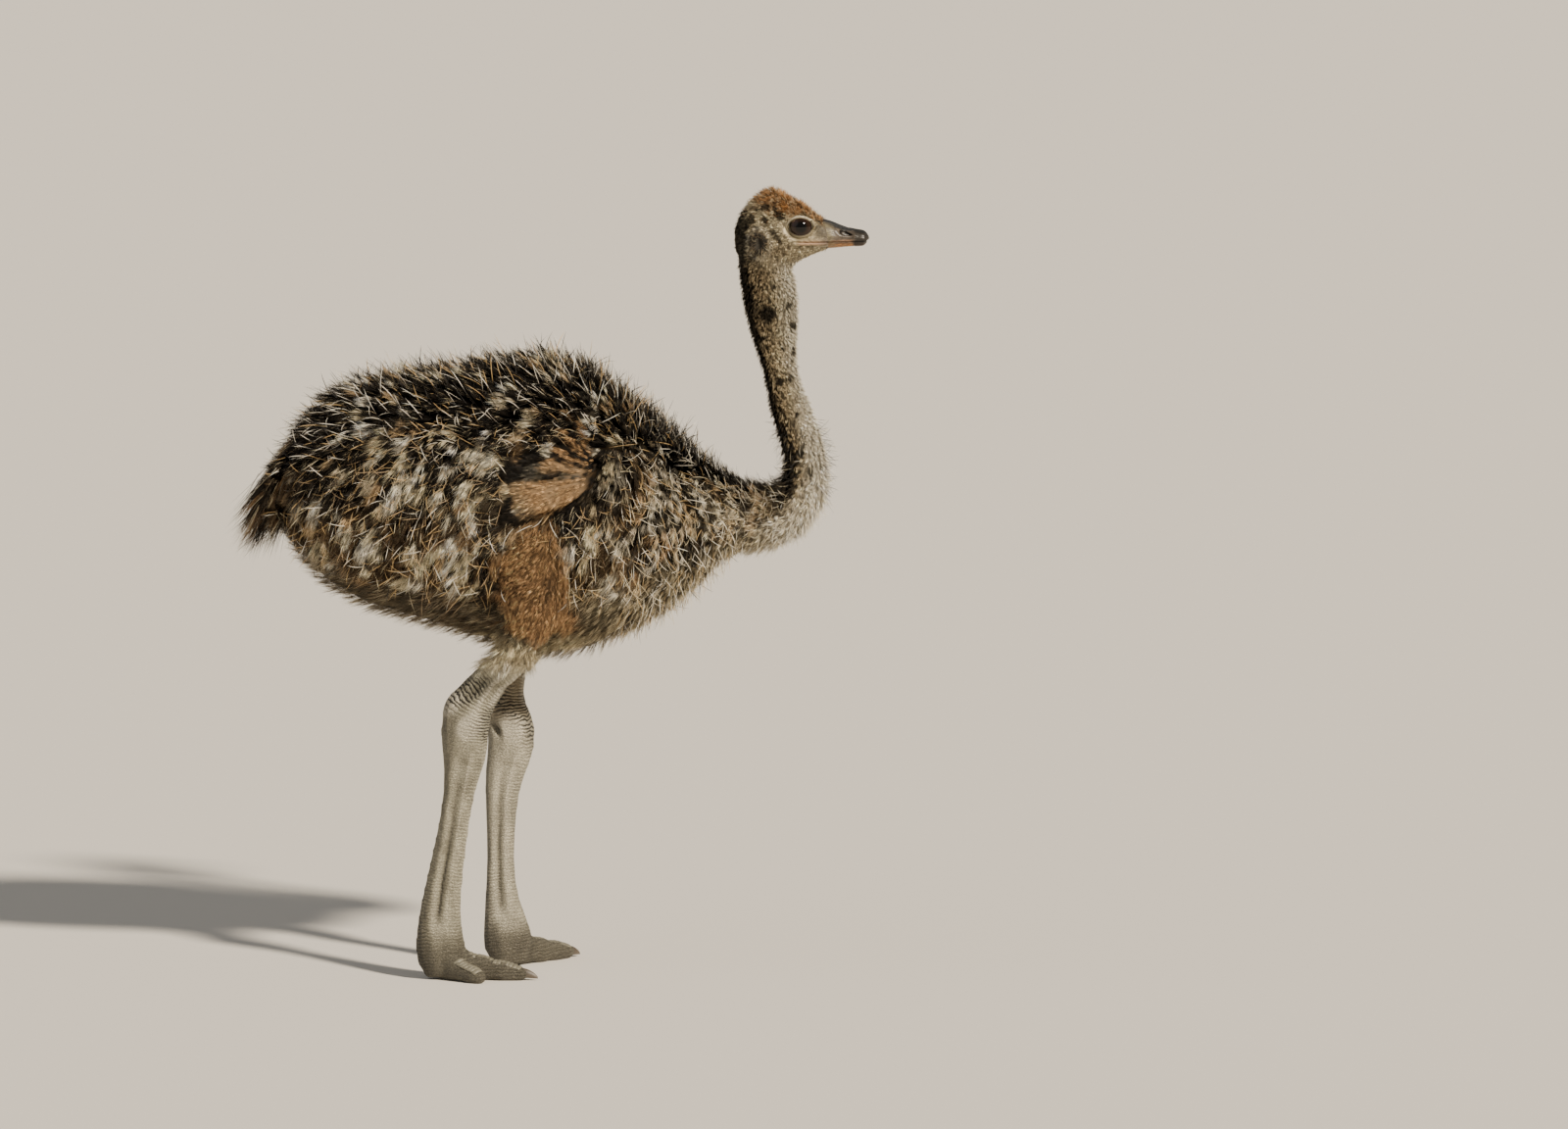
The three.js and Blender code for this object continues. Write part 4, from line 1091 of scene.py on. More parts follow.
toe_way = {}
for side in SIDES:
    nail, toe = (places(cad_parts[f"{part}_{side}"].data) for part in ("nail", "toe_main"))
    ahead = unit((nail.mean(axis=0) - toe.mean(axis=0)) * [1, 1, 0])
    toe_way[side] = ahead
    aside = np.array([-ahead[1], ahead[0], 0])
    reach, width = nail @ ahead, nail @ aside
    start, end, middle = reach.min() - CLAW_ROOT_IN, reach.max(), (width.min() + width.max()) / 2
    half, low, high = (width.max() - width.min()) / 2, nail[:, 2].min() - CLAW_UNDER, nail[:, 2].max()
    t = 1 - (1 - np.linspace(0, 1, CLAW_STATIONS)) ** 1.3
    wide, tall = curve(CLAW_SHAPE, t).T
    turn = np.linspace(0, 2 * math.pi, CLAW_ROUND, endpoint=False)
    round_under = np.where(np.sin(turn) < 0, 0.35, 1.0)
    across = half * wide[:, None] * np.cos(turn)
    up = low + (high - low) * tall[:, None] * (0.3 + 0.7 * np.sin(turn) * round_under)
    grid = ((start + t * (end - start))[:, None, None] * ahead + (middle + across)[..., None] * aside
            + up[..., None] * np.array([0, 0, 1.0]))
    claw = surface(f"claw_{side}", grid)
    p = places(claw)
    tint(claw, blend(CLAW_HORN, DARK, 0.3 + 0.3 * drift(p, 3, 76),
                     BILL_LIGHT, 0.5 * ease(start, end, p @ ahead)))
    place_piece(f"claw_{side}", claw, dark_horn, "nail", f"nail_{side}")

# ---------------------------------------------------------------- scutes
# Broad horny plates cross the top of each toe like roof tiles, each free edge over the next plate.
# They are set out by Geometry Nodes on a row of points, with a turn and a size at each point.
SCUTE_STEP = 3.6 * MM
SCUTE_TILT = math.radians(-9)  # the free edge of each plate stands up
SCUTE_THICK = 0.3  # of a plate's own length
SCUTE_WIDE = (0.88, 15 * MM)  # share of the toe's width, and the toe width it stops at
SCUTE_DIMMING = 0.5  # the plates take this share of the leg's own colours, so they are darker than the skin
SCUTE_ENDS = (8 * MM, 3 * MM)  # where the row stops short of the toe's root and tip
SCUTE_HEIGHTS = (6 * MM, 32 * MM)  # they lie on skin between these heights
SCUTE_SAG = -2.6  # how far a plate's sides curve down
SCUTE_BOW = -0.9  # how far they sweep back
STEEPEST_SCUTE = 0.8  # upward share of the skin's normal below which there are no plates
ground = BVHTree.FromPolygons([Vector(v) for v in co], [tuple(f.vertices) for f in mesh.polygons])

plates = bpy.data.node_groups.new("scute_row", "GeometryNodeTree")
_, thick_input, finish_input, _ = (
    plates.interface.new_socket(name, in_out=way, socket_type=f"NodeSocket{kind}")
    for name, way, kind in (("Geometry", "INPUT", "Geometry"), ("Thickness", "INPUT", "Float"),
                            ("Finish", "INPUT", "Material"), ("Geometry", "OUTPUT", "Geometry")))
given = add_node(plates, "NodeGroupInput")
turned, sized = (
    add_node(plates, "GeometryNodeInputNamedAttribute", {"data_type": "FLOAT_VECTOR"}, Name=name)
    for name in ("Turn", "Size"))
plate_size = add_node(plates, "ShaderNodeCombineXYZ", X=1.0, Y=1.0, Z=given.outputs["Thickness"])
plate = add_node(plates, "GeometryNodeMeshCube", Size=plate_size.outputs[0], Vertices_X=4, Vertices_Y=9,
                 Vertices_Z=2)
at = add_node(plates, "ShaderNodeSeparateXYZ", Vector=add_node(
    plates, "GeometryNodeInputPosition").outputs[0])
square_x, square_y = (add_node(plates, "ShaderNodeMath", {"operation": "MULTIPLY"}, _0=at.outputs[axis],
                               _1=at.outputs[axis]) for axis in "XY")
sag_x = add_node(plates, "ShaderNodeMath", {"operation": "MULTIPLY"}, _0=square_x.outputs[0], _1=-0.5)
sag = add_node(plates, "ShaderNodeMath", {"operation": "MULTIPLY_ADD"}, _0=square_y.outputs[0],
               _1=SCUTE_SAG, _2=sag_x.outputs[0])
bow = add_node(plates, "ShaderNodeMath", {"operation": "MULTIPLY"}, _0=square_y.outputs[0],
               _1=SCUTE_BOW)
shift_plate = add_node(plates, "ShaderNodeCombineXYZ", X=bow.outputs[0], Z=sag.outputs[0])
curved = add_node(plates, "GeometryNodeSetPosition", Geometry=plate.outputs["Mesh"],
                  Offset=shift_plate.outputs[0])
rows_of = add_node(plates, "GeometryNodeInstanceOnPoints", Points=given.outputs["Geometry"],
                   Instance=curved.outputs[0], Rotation=turned.outputs["Attribute"],
                   Scale=sized.outputs["Attribute"])
solid_plates = add_node(plates, "GeometryNodeRealizeInstances", Geometry=rows_of.outputs[0])
finished = add_node(plates, "GeometryNodeSetMaterial", Geometry=solid_plates.outputs[0],
                    Material=given.outputs["Finish"])
add_node(plates, "NodeGroupOutput", Geometry=finished.outputs[0])

# Scute: thick keratin, worn satin on top, mottled grey and darker than the skin.
scute_horn, tree = material("worn_scute_horn")
object_place = add_node(tree, "ShaderNodeTexCoord").outputs["Object"]
dust = add_node(tree, "ShaderNodeTexNoise", Vector=object_place, Scale=1 / (3.5 * MM), Detail=4.0)
light_tone, dark_tone = ((*linear(code) * SCUTE_DIMMING, 1) for code in (LEG_GREY, LEG_SHADE))
shade = add_node(tree, "ShaderNodeMix", {"data_type": "RGBA"}, _0=dust.outputs["Fac"], _6=light_tone,
                 _7=dark_tone)
bump = add_node(tree, "ShaderNodeBump", Strength=0.4, Distance=0.3 * MM, Height=dust.outputs["Fac"])
shader = add_node(tree, "ShaderNodeBsdfPrincipled", Base_Color=shade.outputs[2], Roughness=0.5,
                  Normal=bump.outputs[0])
finish_material(tree, shader)

spots, turns, sizes = [], [], []
for side in SIDES:
    foot = np.array(sum(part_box(f"foot_{side}"), Vector()) / 2)
    for kind in ("main", "outer"):
        toe = places(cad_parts[f"toe_{kind}_{side}"].data)
        ahead = toe_way[side] if kind == "main" else unit((toe.mean(axis=0) - foot) * [1, 1, 0])
        aside = np.array([-ahead[1], ahead[0], 0])
        middle = (toe @ aside).min() / 2 + (toe @ aside).max() / 2
        start, end = (toe @ ahead).min() + SCUTE_ENDS[0], (toe @ ahead).max() - SCUTE_ENDS[1]
        for far in np.arange(start, end, SCUTE_STEP):
            above = Vector(far * ahead + middle * aside + np.array([0, 0, 0.06]))
            hit, normal, _, _ = ground.ray_cast(above, Vector((0, 0, -1)))
            if hit is None or normal.z < STEEPEST_SCUTE:
                continue
            if not SCUTE_HEIGHTS[0] < hit.z < SCUTE_HEIGHTS[1]:
                continue
            width = np.ptp(toe[np.abs(toe @ ahead - far) < 5 * MM] @ aside)
            lengthwise = (Vector(ahead) - normal * normal.dot(Vector(ahead))).normalized()
            basis = Matrix((lengthwise, normal.cross(lengthwise), normal)).transposed()
            basis = basis @ Matrix.Rotation(SCUTE_TILT, 3, "Y")
            spots.append(hit + normal * 0.3 * MM)
            turns.append(basis.to_euler())
            sizes.append((SCUTE_STEP * 1.2, min(width, SCUTE_WIDE[1]) * SCUTE_WIDE[0], SCUTE_STEP))
row_mesh = bpy.data.meshes.new("scutes")
row_mesh.from_pydata(spots, [], [])
for name, values in (("Turn", turns), ("Size", sizes)):
    layer = row_mesh.attributes.new(name, "FLOAT_VECTOR", "POINT")
    layer.data.foreach_set("vector", np.array([tuple(v) for v in values]).ravel())
scutes = bpy.data.objects.new("scutes", row_mesh)
bpy.context.scene.collection.objects.link(scutes)
laid = scutes.modifiers.new("scute_row", "NODES")
laid.node_group = plates
laid[thick_input.identifier] = SCUTE_THICK
laid[finish_input.identifier] = scute_horn
applied(scutes).shade_smooth()
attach(scutes, "root")

# ---------------------------------------------------------------- down
# The chick's coat is loose down: each feather is a short soft shaft with barbs that fan out from it.
# They overlap like shingles along the lie of the coat, from the bill back to the tail.
SEED = 20
mesh.calc_loop_triangles()
triangles = np.empty(len(mesh.loop_triangles) * 3, int)
mesh.loop_triangles.foreach_get("vertices", triangles)
triangles = triangles.reshape(-1, 3)
skin_normals = normals(mesh)
corners = co[triangles]
areas = np.linalg.norm(
    np.cross(corners[:, 1] - corners[:, 0], corners[:, 2] - corners[:, 0]), axis=1) / 2
middles = corners.mean(axis=1)
THIGH_TOP = np.array([12, 0, 410]) * MM  # the hair of the thigh fans out from here
NEIGHBOURS = list(itertools.product((-1, 0, 1), repeat=3))
TRIED = 2.6  # places tried for each square of the spacing


def lie(p, n):
    """The way the coat lies at each place, along the skin."""
    x, y, z = p.T
    zone = zones(p)
    turn = round_body(p)
    steep = 0.15 + (FLANK_LIE - 0.15) * ease(0.35, 1.2, turn) * ease(2.5, 2.0, turn)
    way = np.stack([-np.cos(steep), 0.12 * np.sign(y) * np.sin(steep), -np.sin(steep)], axis=1)
    thigh = thigh_share(p)[:, None]
    fan = unit((p - THIGH_TOP) * [1, 0, 1])
    way = way * (1 - thigh) + thigh * (0.6 * fan + np.array([-0.35, 0.0, -0.45]))
    wing = (ease(0.5, 0.9, wing_share(p)) * ease(WING_ROOT[0], WING_ROOT[0] - 22 * MM, x))[:, None]
    way = way * (1 - wing) + wing * unit((p - WING_ROOT) * [1, 0, 1])
    trousers = ease(320 * MM, 296 * MM, z) * ease(25 * MM, 40 * MM, np.abs(y)) * (x < 0.03)
    way = way * (1 - trousers[:, None]) + trousers[:, None] * np.array([-0.25, 0.0, -1.0])
    _, _, up = round_neck(p)
    down_neck = np.stack([-up[:, 0], np.zeros(len(p)), -up[:, 1]], axis=1)
    way = way * (1 - zone["neck"][:, None]) + zone["neck"][:, None] * down_neck
    over_head = np.stack([-np.ones(len(p)), np.zeros(len(p)), np.full(len(p), -0.35)], axis=1)
    for side in SIDES:
        from_ear = (p - EAR_AT[side]) * [1, 0, 1]
        near = ease(12 * MM, 7 * MM, np.linalg.norm(p - EAR_AT[side], axis=1))[:, None]
        over_head = over_head * (1 - near) + near * (unit(from_ear + 1e-6) + np.array([-0.25, 0, -0.45]))
    way = way * (1 - zone["head"][:, None]) + zone["head"][:, None] * over_head
    way = unit(way)
    return unit(way - n * np.sum(way * n, axis=1, keepdims=True) + 1e-9)


def roots(wanted, spacing, rng):
    """Places scattered over the wanted part of the skin, none nearer to another than the spacing."""
    chosen = np.flatnonzero(wanted(middles))
    weight = areas[chosen] / areas[chosen].sum()
    count = int(TRIED * areas[chosen].sum() / spacing ** 2)
    face = rng.choice(chosen, count, p=weight)
    a, b = rng.random((2, count))
    a, b = np.where(a + b > 1, 1 - a, a), np.where(a + b > 1, 1 - b, b)
    share = np.stack([1 - a - b, a, b], axis=1)[:, :, None]
    p = (co[triangles[face]] * share).sum(axis=1)
    n = unit((skin_normals[triangles[face]] * share).sum(axis=1))
    cells = np.floor(p / spacing).astype(int).tolist()
    spots, taken, kept = p.tolist(), {}, []
    for i, (cx, cy, cz) in enumerate(cells):
        near = (taken.get((cx + dx, cy + dy, cz + dz)) for dx, dy, dz in NEIGHBOURS)
        if all(j is None or math.dist(spots[i], spots[j]) > spacing for j in near):
            taken[(cx, cy, cz)] = i
            kept.append(i)
    return p[kept], n[kept]


PATCH = 0.003  # how much of the flat map one tuft takes


def unwrap(p):
    """Each place on a flat map of the skin: round the body, neck or legs, and along them."""
    share, neck_turn, _ = round_neck(p)
    on_neck = p[:, 0] > 155 * MM
    on_leg = (p[:, 2] < 300 * MM) & ~on_neck
    turn = np.where(on_neck, neck_turn * np.sign(p[:, 1]), np.arctan2(p[:, 1], p[:, 2] - BODY_AXIS))
    length = np.where(on_neck, 0.2 + share * 0.35 + np.maximum(p[:, 2] - 632 * MM, 0), p[:, 0])
    turn = np.where(on_leg, turn + 0.4 * np.sign(p[:, 1]), turn)
    length = np.where(on_leg, p[:, 0] + 1.5 * (300 * MM - p[:, 2]), length)
    flat = np.stack([turn, length], axis=1)
    low, high = flat.min(axis=0), flat.max(axis=0)
    return 0.02 + 0.95 * (flat - low) / np.maximum(high - low, 1e-6)


def strands(start, way, end_way, up, long, wide, colour, flat, reach, rings):
    """Pointed three-sided strands that bend from way to end_way. Each takes colours for its root,
    middle and tip, a place on the flat map, and the shares of the tuft where it starts and ends."""
    count, per = len(start), rings * 3 + 1
    across = unit(np.cross(way, up))
    points, uv, tints = np.empty((count, per, 3)), np.empty((count, per, 2)), np.empty((count, per, 3))

    def spine(t):
        return start + long[:, None] * (way * t + (end_way - way) * t * t / 2)

    def shade(t):
        place = (reach[:, 0] + (reach[:, 1] - reach[:, 0]) * t)[:, None]
        root, middle, tip = colour
        return np.where(place < 0.5, root + (middle - root) * place * 2, middle + (tip - middle) * (
            place * 2 - 1))

    for k in range(per):
        ring, corner = divmod(k, 3)
        t = min(ring / rings, 1.0)
        aside, above = ((-0.5, 0.0), (0.5, 0.0), (0.0, 0.36))[corner] if ring < rings else (0.0, 0.0)
        thick = wide[:, None] * (1 - 0.4 * t) * (0.75 if ring == 0 else 1.0)
        points[:, k] = spine(t) + thick * (across * aside + up * above)
        drop = reach[:, 0] + (reach[:, 1] - reach[:, 0]) * t
        uv[:, k] = flat + PATCH * np.stack(
            [np.full(count, aside + 0.5), 0.8 * drop + 0.4 * above], axis=1)
        tints[:, k] = shade(t)
    loops, sizes = [2, 1, 0], [3]
    for ring in range(rings - 1):
        for corner in range(3):
            a, b = ring * 3 + corner, ring * 3 + (corner + 1) % 3
            loops += [a, b, b + 3, a + 3]
            sizes.append(4)
    for corner in range(3):
        loops += [(rings - 1) * 3 + corner, (rings - 1) * 3 + (corner + 1) % 3, per - 1]
        sizes.append(3)
    return {
        "points": points.reshape(-1, 3), "uv": uv.reshape(-1, 2), "tints": tints.reshape(-1, 3),
        "loops": (np.arange(count)[:, None] * per + np.array(loops)).ravel(),
        "sizes": np.tile(np.array(sizes), count),
    }


def weave(name, bundles, finish, slot):
    """One piece of the coat from bundles of strands."""
    before = np.cumsum([0] + [len(b["points"]) for b in bundles])
    loops = np.concatenate([b["loops"] + n for b, n in zip(bundles, before)]).astype(np.int32)
    sizes = np.concatenate([b["sizes"] for b in bundles]).astype(np.int32)
    points = np.concatenate([b["points"] for b in bundles])
    made = bpy.data.meshes.new(name)
    made.vertices.add(len(points))
    made.vertices.foreach_set("co", points.ravel())
    made.loops.add(len(loops))
    made.loops.foreach_set("vertex_index", loops)
    made.polygons.add(len(sizes))
    made.polygons.foreach_set("loop_start", (np.cumsum(sizes) - sizes).astype(np.int32))
    made.polygons.foreach_set("loop_total", sizes)
    made.update(calc_edges=True)
    layer = made.uv_layers.new(name="OFBake")
    layer.data.foreach_set("uv", np.concatenate([b["uv"] for b in bundles])[loops].ravel())
    tint(made, np.concatenate([b["tints"] for b in bundles]))
    return place_piece(name, made, finish, slot)


# Down: keratin barbs without hooks, so it is matt and hardly shines.
down = keratin("loose_down_barbs", 0.75, 2, 2.0, shades=(0.8, 1.2), Specular_IOR_Level=0.12)
# the barbs that stray into pale feathers, and into dark ones
DARK_BARB = linear("#1d1915")
PALE_BARB = linear("#b9ab8e")


def plume(p, n, flow, colour, flat, rng, barbs, length, width, lift, fan, bent=0.3, shaft=0.45,
          droop=0.35, root_dark=0.16, mid=0.95, tip_light=1.45, rough=0.12, grizzle=0.22, stray=0.0):
    """Feathers at the places p: barbs that leave a leaning shaft on both sides and curve with it.
    A share of them, bent, is made of two lengths, and the rest are straight. Some feathers draw
    together to a point. A share of the barbs, stray, is dark among pale ones or pale among dark."""
    count = len(p)
    gather = rng.random(count)
    bright_ones = colour.mean(axis=1) > 0.12
    rise = lift * rng.uniform(0.6, 1.3, count)
    shaft_way = flow * np.cos(rise)[:, None] + n * np.sin(rise)[:, None]
    above = n * np.cos(rise)[:, None] - flow * np.sin(rise)[:, None]
    aside = np.cross(above, shaft_way)
    long = length * rng.uniform(0.8, 1.2, count)
    bright = np.exp(rng.normal(0, grizzle, count))
    bundles = []
    for rings, many in ((2, round(barbs * bent)), (1, barbs - round(barbs * bent))):
        if not many:
            continue
        owner = np.repeat(np.arange(count), many)
        total = len(owner)
        leaves = rng.random(total) * shaft
        turn = rng.uniform(-fan, fan, total) * (1 - 0.5 * leaves / shaft)
        barb_long = long[owner] * (1 - leaves) * rng.uniform(0.72, 1.05, total)
        start = (p[owner] - n[owner] * 1.0 * MM + shaft_way[owner] * (long[owner] * leaves)[:, None]
                 + aside[owner] * (rng.normal(0, 0.06, total) * long[owner])[:, None])
        way = (shaft_way[owner] * np.cos(turn)[:, None] + aside[owner] * np.sin(turn)[:, None]
               + above[owner] * rng.normal(0, rough, total)[:, None])
        end_turn = turn * (0.5 - 0.8 * gather[owner]) + rng.normal(0, rough * 1.5, total)
        end_way = (shaft_way[owner] * np.cos(end_turn)[:, None] + aside[owner] * np.sin(end_turn)[:, None]
                   - above[owner] * (droop * rng.uniform(0.3, 1.3, total))[:, None])
        base = np.where((rng.random(total) < stray)[:, None],
                        np.where(bright_ones[owner][:, None], DARK_BARB, PALE_BARB), colour[owner])
        tone = base * (bright[owner] * np.exp(rng.normal(0, 0.2, total)))[:, None]
        # each barb darkens towards its root: partly its browner base, partly painted shade deep in the
        # coat
        shades = (tone * root_dark, tone * mid, tone * tip_light)
        reach = np.stack([leaves, np.ones(total)], axis=1)
        wide = width * rng.uniform(0.7, 1.25, total)
        bundles.append(strands(start, unit(way), unit(end_way), above[owner], barb_long, wide, shades,
                               flat[owner], reach, rings))
    return bundles


SHOWN_AT = 0.55  # the share of a feather's length where it shows, and so takes its colour from


def coat(name, wanted, spacing, slot, seed, swing=0.25, **shape):
    """A piece of the coat: feathers rooted all over the wanted part of the skin. Their length and
    lift may change from place to place. The spacing, the length and the width are in mm."""
    rng = np.random.default_rng(SEED + seed)
    p, n = roots(wanted, spacing * MM, rng)
    shape |= {key: shape[key](p) for key in ("length", "lift") if callable(shape[key])}
    shape |= {key: shape[key] * MM for key in ("length", "width")}
    flow = lie(p, n)
    turn = drift(p, 24, 41) * swing + rng.normal(0, swing * 0.6, len(p))
    flow = unit(flow * np.cos(turn)[:, None] + np.cross(n, flow) * np.sin(turn)[:, None])
    colour = markings(p + flow * (SHOWN_AT * shape["length"] * np.ones(len(p)))[:, None])
    weave(name, plume(p, n, flow, colour, unwrap(p), rng, **shape), down, slot)


def section(low_x, high_x, low_turn, high_turn, way=0):
    """The downy part of the body between two places along it, in mm, and two angles round it."""
    def wanted(p):
        x, y, z = p.T
        turn = round_body(p)
        inside = (x >= low_x * MM) & (x < high_x * MM) & (turn >= low_turn) & (turn < high_turn)
        inside &= (z > 288 * MM) & ((way == 0) | (np.sign(y) == way))
        short_haired = np.maximum(thigh_share(p), (wing_share(p) > 0.8) * (x < WING_ROOT[0]))
        return inside & (short_haired < 0.5)
    return wanted


def body_length(p):
    """The down is longest on the back and rump, shorter to the breast and the belly's middle."""
    return 20 - 5 * ease(50, 140, p[:, 0] / MM) - 3 * ease(2.2, 2.8, round_body(p))


def body_lift(p):
    """It stands up most on the back, and hangs closer on the flanks."""
    turn = round_body(p)
    return 0.78 - 0.2 * ease(0.5, 1.2, turn) + 0.12 * ease(2.1, 2.6, turn)


BODY = {"barbs": 28, "length": body_length, "width": 0.56, "lift": body_lift, "fan": 0.6, "bent": 0.25,
        "stray": 0.07, "tip_light": 1.6}
BELLY = {"width": 0.42, "fan": 0.9, "barbs": 16, "length": 20, "stray": 0.15, "root_dark": 0.3,
         "grizzle": 0.3}
coat("coat_back", section(-300, 60, 0, 0.75), 5.4, "body_down", 1, **BODY)
for side, way in SIDES.items():
    coat(f"coat_flank_rear_{side}", section(-300, -95, 0.75, 2.2, way), 4.3, "body_down", 2, **BODY)
    coat(f"coat_flank_front_{side}", section(-95, 60, 0.75, 2.2, way), 4.3, "body_down", 3, **BODY)
coat("coat_belly", section(-300, 60, 2.2, 3.2), 5.2, "body_down", 4, **(BODY | BELLY))
coat("coat_breast", section(60, 155, 0, 3.2), 4.4, "body_down", 5,
     **(BODY | {"barbs": 20, "stray": 0.04}))

# The wing's flap: small soft feathers that fan out from the shoulder. The thigh: the shortest hair
# of the body, close and rusty, over the muscle. Below it hang the long loose hairs at the top of
# the leg.
for side, way in SIDES.items():
    coat(f"coat_wing_{side}",
         lambda p, way=way: (wing_share(p) > 0.5) & (p[:, 0] < WING_ROOT[0]) & (np.sign(p[:, 1]) == way)
         & (thigh_share(p) < 0.5),
         2.9, "wing_down", 6, swing=0.12, barbs=12, length=11, width=0.55, lift=0.4, fan=0.45)
    coat(f"coat_thigh_{side}",
         lambda p, way=way: (thigh_share(p) >= 0.3) & (np.sign(p[:, 1]) == way),
         1.9, "thigh_down", 7, swing=0.4, barbs=7, length=9, width=0.5, lift=0.46,
         fan=0.4, bent=0.2, root_dark=0.15, mid=0.85, tip_light=1.95, grizzle=0.4)
    coat(f"coat_trousers_{side}",
         lambda p, way=way: (p[:, 2] > 282 * MM) & (p[:, 2] < 316 * MM) & (np.sign(p[:, 1]) == way)
         & (np.abs(p[:, 1]) > 28 * MM) & (thigh_share(p) < 0.5),
         3.0, "thigh_down", 8, swing=0.6, barbs=9, length=16, width=0.45, lift=0.45,
         fan=0.7, bent=0.7, droop=0.5, grizzle=0.35)


# The neck: close soft hair in small curls, longer at the breast. The head: the same, even shorter,
# raised in a rough cap on the crown.
def neck_length(p):
    return 13.5 - 7.5 * ease(0.1, 0.5, round_neck(p)[0])


def head_length(p):
    x, _, z = p.T / MM
    return 5.6 + 3.0 * ease(662, 684, z) - 1.2 * ease(205, 228, x) * ease(678, 666, z)


def head_lift(p):
    return 0.42 + 0.5 * ease(662, 684, p[:, 2] / MM)


HAIR = {"fan": 0.5, "bent": 0.35, "root_dark": 0.12, "mid": 0.66, "tip_light": 1.55, "grizzle": 0.33,
        "rough": 0.2}
coat("coat_neck_lower", lambda p: (p[:, 0] >= 155 * MM) & (p[:, 2] < 500 * MM), 2.3,
     "neck_down", 9, swing=0.6, barbs=8, length=neck_length, width=0.62, lift=0.75,
     **(HAIR | {"root_dark": 0.3, "mid": 0.9}))
coat("coat_neck_upper", lambda p: (p[:, 0] >= 150 * MM) & (p[:, 2] >= 500 * MM) & (p[:, 2] < 634 * MM),
     1.4, "neck_down", 10, swing=0.8, barbs=6, length=neck_length, width=0.52, lift=0.75, **HAIR)
coat("coat_head", lambda p: (p[:, 2] >= 634 * MM) & (p[:, 0] > 100 * MM) & (zones(p)["face"] < 0.6)
     & (p[:, 0] < 240 * MM), 1.0, "head_down", 11, swing=0.8, barbs=5, length=head_length,
     width=0.62, lift=head_lift, **(HAIR | {"root_dark": 0.16, "mid": 0.75, "tip_light": 1.25}))

# ---------------------------------------------------------------- quills
# Stiff curved bristles stand out of the down all over the body: each is a feather still in its
# sheath, a flat horny straw, pale or black, with a sharp tip.
STRAW = "#cbab78"
BONE = "#f1eadb"

# Sheath: smooth thin keratin, so it catches the light more than the down.
sheath = keratin("satin_quill_sheath", 0.42)


def quills(name, wanted, spacing, slot, seed, length, width, lift, dyes, swing=0.95, curled=0.8,
           black_top=0.0):
    """Bristles rooted over the wanted part of the skin, dyed by chance from a list of colours. The
    share black_top of those along the middle of the back is black. Lengths are in mm."""
    rng = np.random.default_rng(SEED + seed)
    p, n = roots(wanted, spacing * MM, rng)
    count = len(p)
    flow = lie(p, n)
    turn = rng.normal(0, swing, count)
    flow = unit(flow * np.cos(turn)[:, None] + np.cross(n, flow) * np.sin(turn)[:, None])
    rise = lift * rng.uniform(0.6, 1.35, count)
    way = flow * np.cos(rise)[:, None] + n * np.sin(rise)[:, None]
    above = n * np.cos(rise)[:, None] - flow * np.sin(rise)[:, None]
    aside = np.cross(above, way)
    curl = rng.normal(0, curled, count)[:, None]
    end_way = way - above * rng.uniform(-0.1, 0.75, count)[:, None] + aside * curl
    colours = np.array([linear(c) for c in dyes])[rng.integers(0, len(dyes), count)]
    colours = colours * rng.normal(1.0, 0.12, count)[:, None]
    topmost = rng.random(count) < black_top * ease(1.05, 0.7, round_body(p))
    colours = np.where(topmost[:, None], linear(BLACK), colours)
    long = length * MM * rng.uniform(0.7, 1.25, count)
    reach = np.tile([0.0, 1.0], (count, 1))
    weave(name, [strands(p, way, unit(end_way), above, long, width * MM * rng.uniform(0.7, 1.2, count),
                         (colours * 0.6, colours, colours * 1.1), unwrap(p), reach, 4)], sheath, slot)


quills("quills_back", section(-240, 120, 0, 0.8), 4.0, "body_down", 21, 25, 0.8, 1.05,
       [BLACK, BLACK, BONE, BONE, STRAW, DARK], black_top=0.2)
for side, way in SIDES.items():
    quills(f"quills_flank_{side}", section(-245, 60, 0.8, 2.35, way), 4.4, "body_down", 22, 23, 0.64, 0.7,
           [STRAW, BONE, CREAM, BLACK, TAN, STRAW])
quills("quills_breast", section(60, 155, 0, 3.2), 3.6, "body_down", 23, 20, 0.7, 0.85,
       [STRAW, BONE, CREAM, PALE, BLACK], black_top=0.9)
quills("quills_neck", lambda p: (p[:, 0] >= 150 * MM) & (p[:, 2] < 490 * MM), 2.8, "neck_down", 24,
       15, 0.4, 0.9, [BONE, CREAM, PALE, CREAM], black_top=0.9)

# Bristles of the face: short dark ones at the forehead's foot, rusty ones that stand up on the
# crown, thin ones over the lore, and a ruff of fine hairs that spreads from the rim of each ear.
quills("bristles_brow", lambda p: (p[:, 0] > 228 * MM) & (p[:, 2] > 664 * MM), 1.2, "head_down", 25,
       5, 0.3, 0.8, [BLACK, BLACK, DARK, RUST], swing=0.6)
quills("bristles_crown", lambda p: (p[:, 0] > 168 * MM) & (p[:, 0] < 232 * MM) & (p[:, 2] > 672 * MM),
       2.0, "head_down", 28, 7, 0.32, 0.95, [ORANGE, RUST, TAN, DARK, BLACK], swing=0.9)
quills("bristles_lore", lambda p: (p[:, 0] > 224 * MM) & (p[:, 2] > 655 * MM) & (p[:, 2] < 670 * MM),
       0.9, "head_down", 26, 2.6, 0.2, 0.4, [DARK, BROWN, EARTH, BLACK, CREAM], swing=0.4)


def ear_ruff(p):
    gaps = [np.linalg.norm((p - EAR_AT[side]) * [1.2, 1, 0.8], axis=1) for side in SIDES]
    return np.abs(np.minimum(*gaps) - 5.5 * MM) < 1.8 * MM


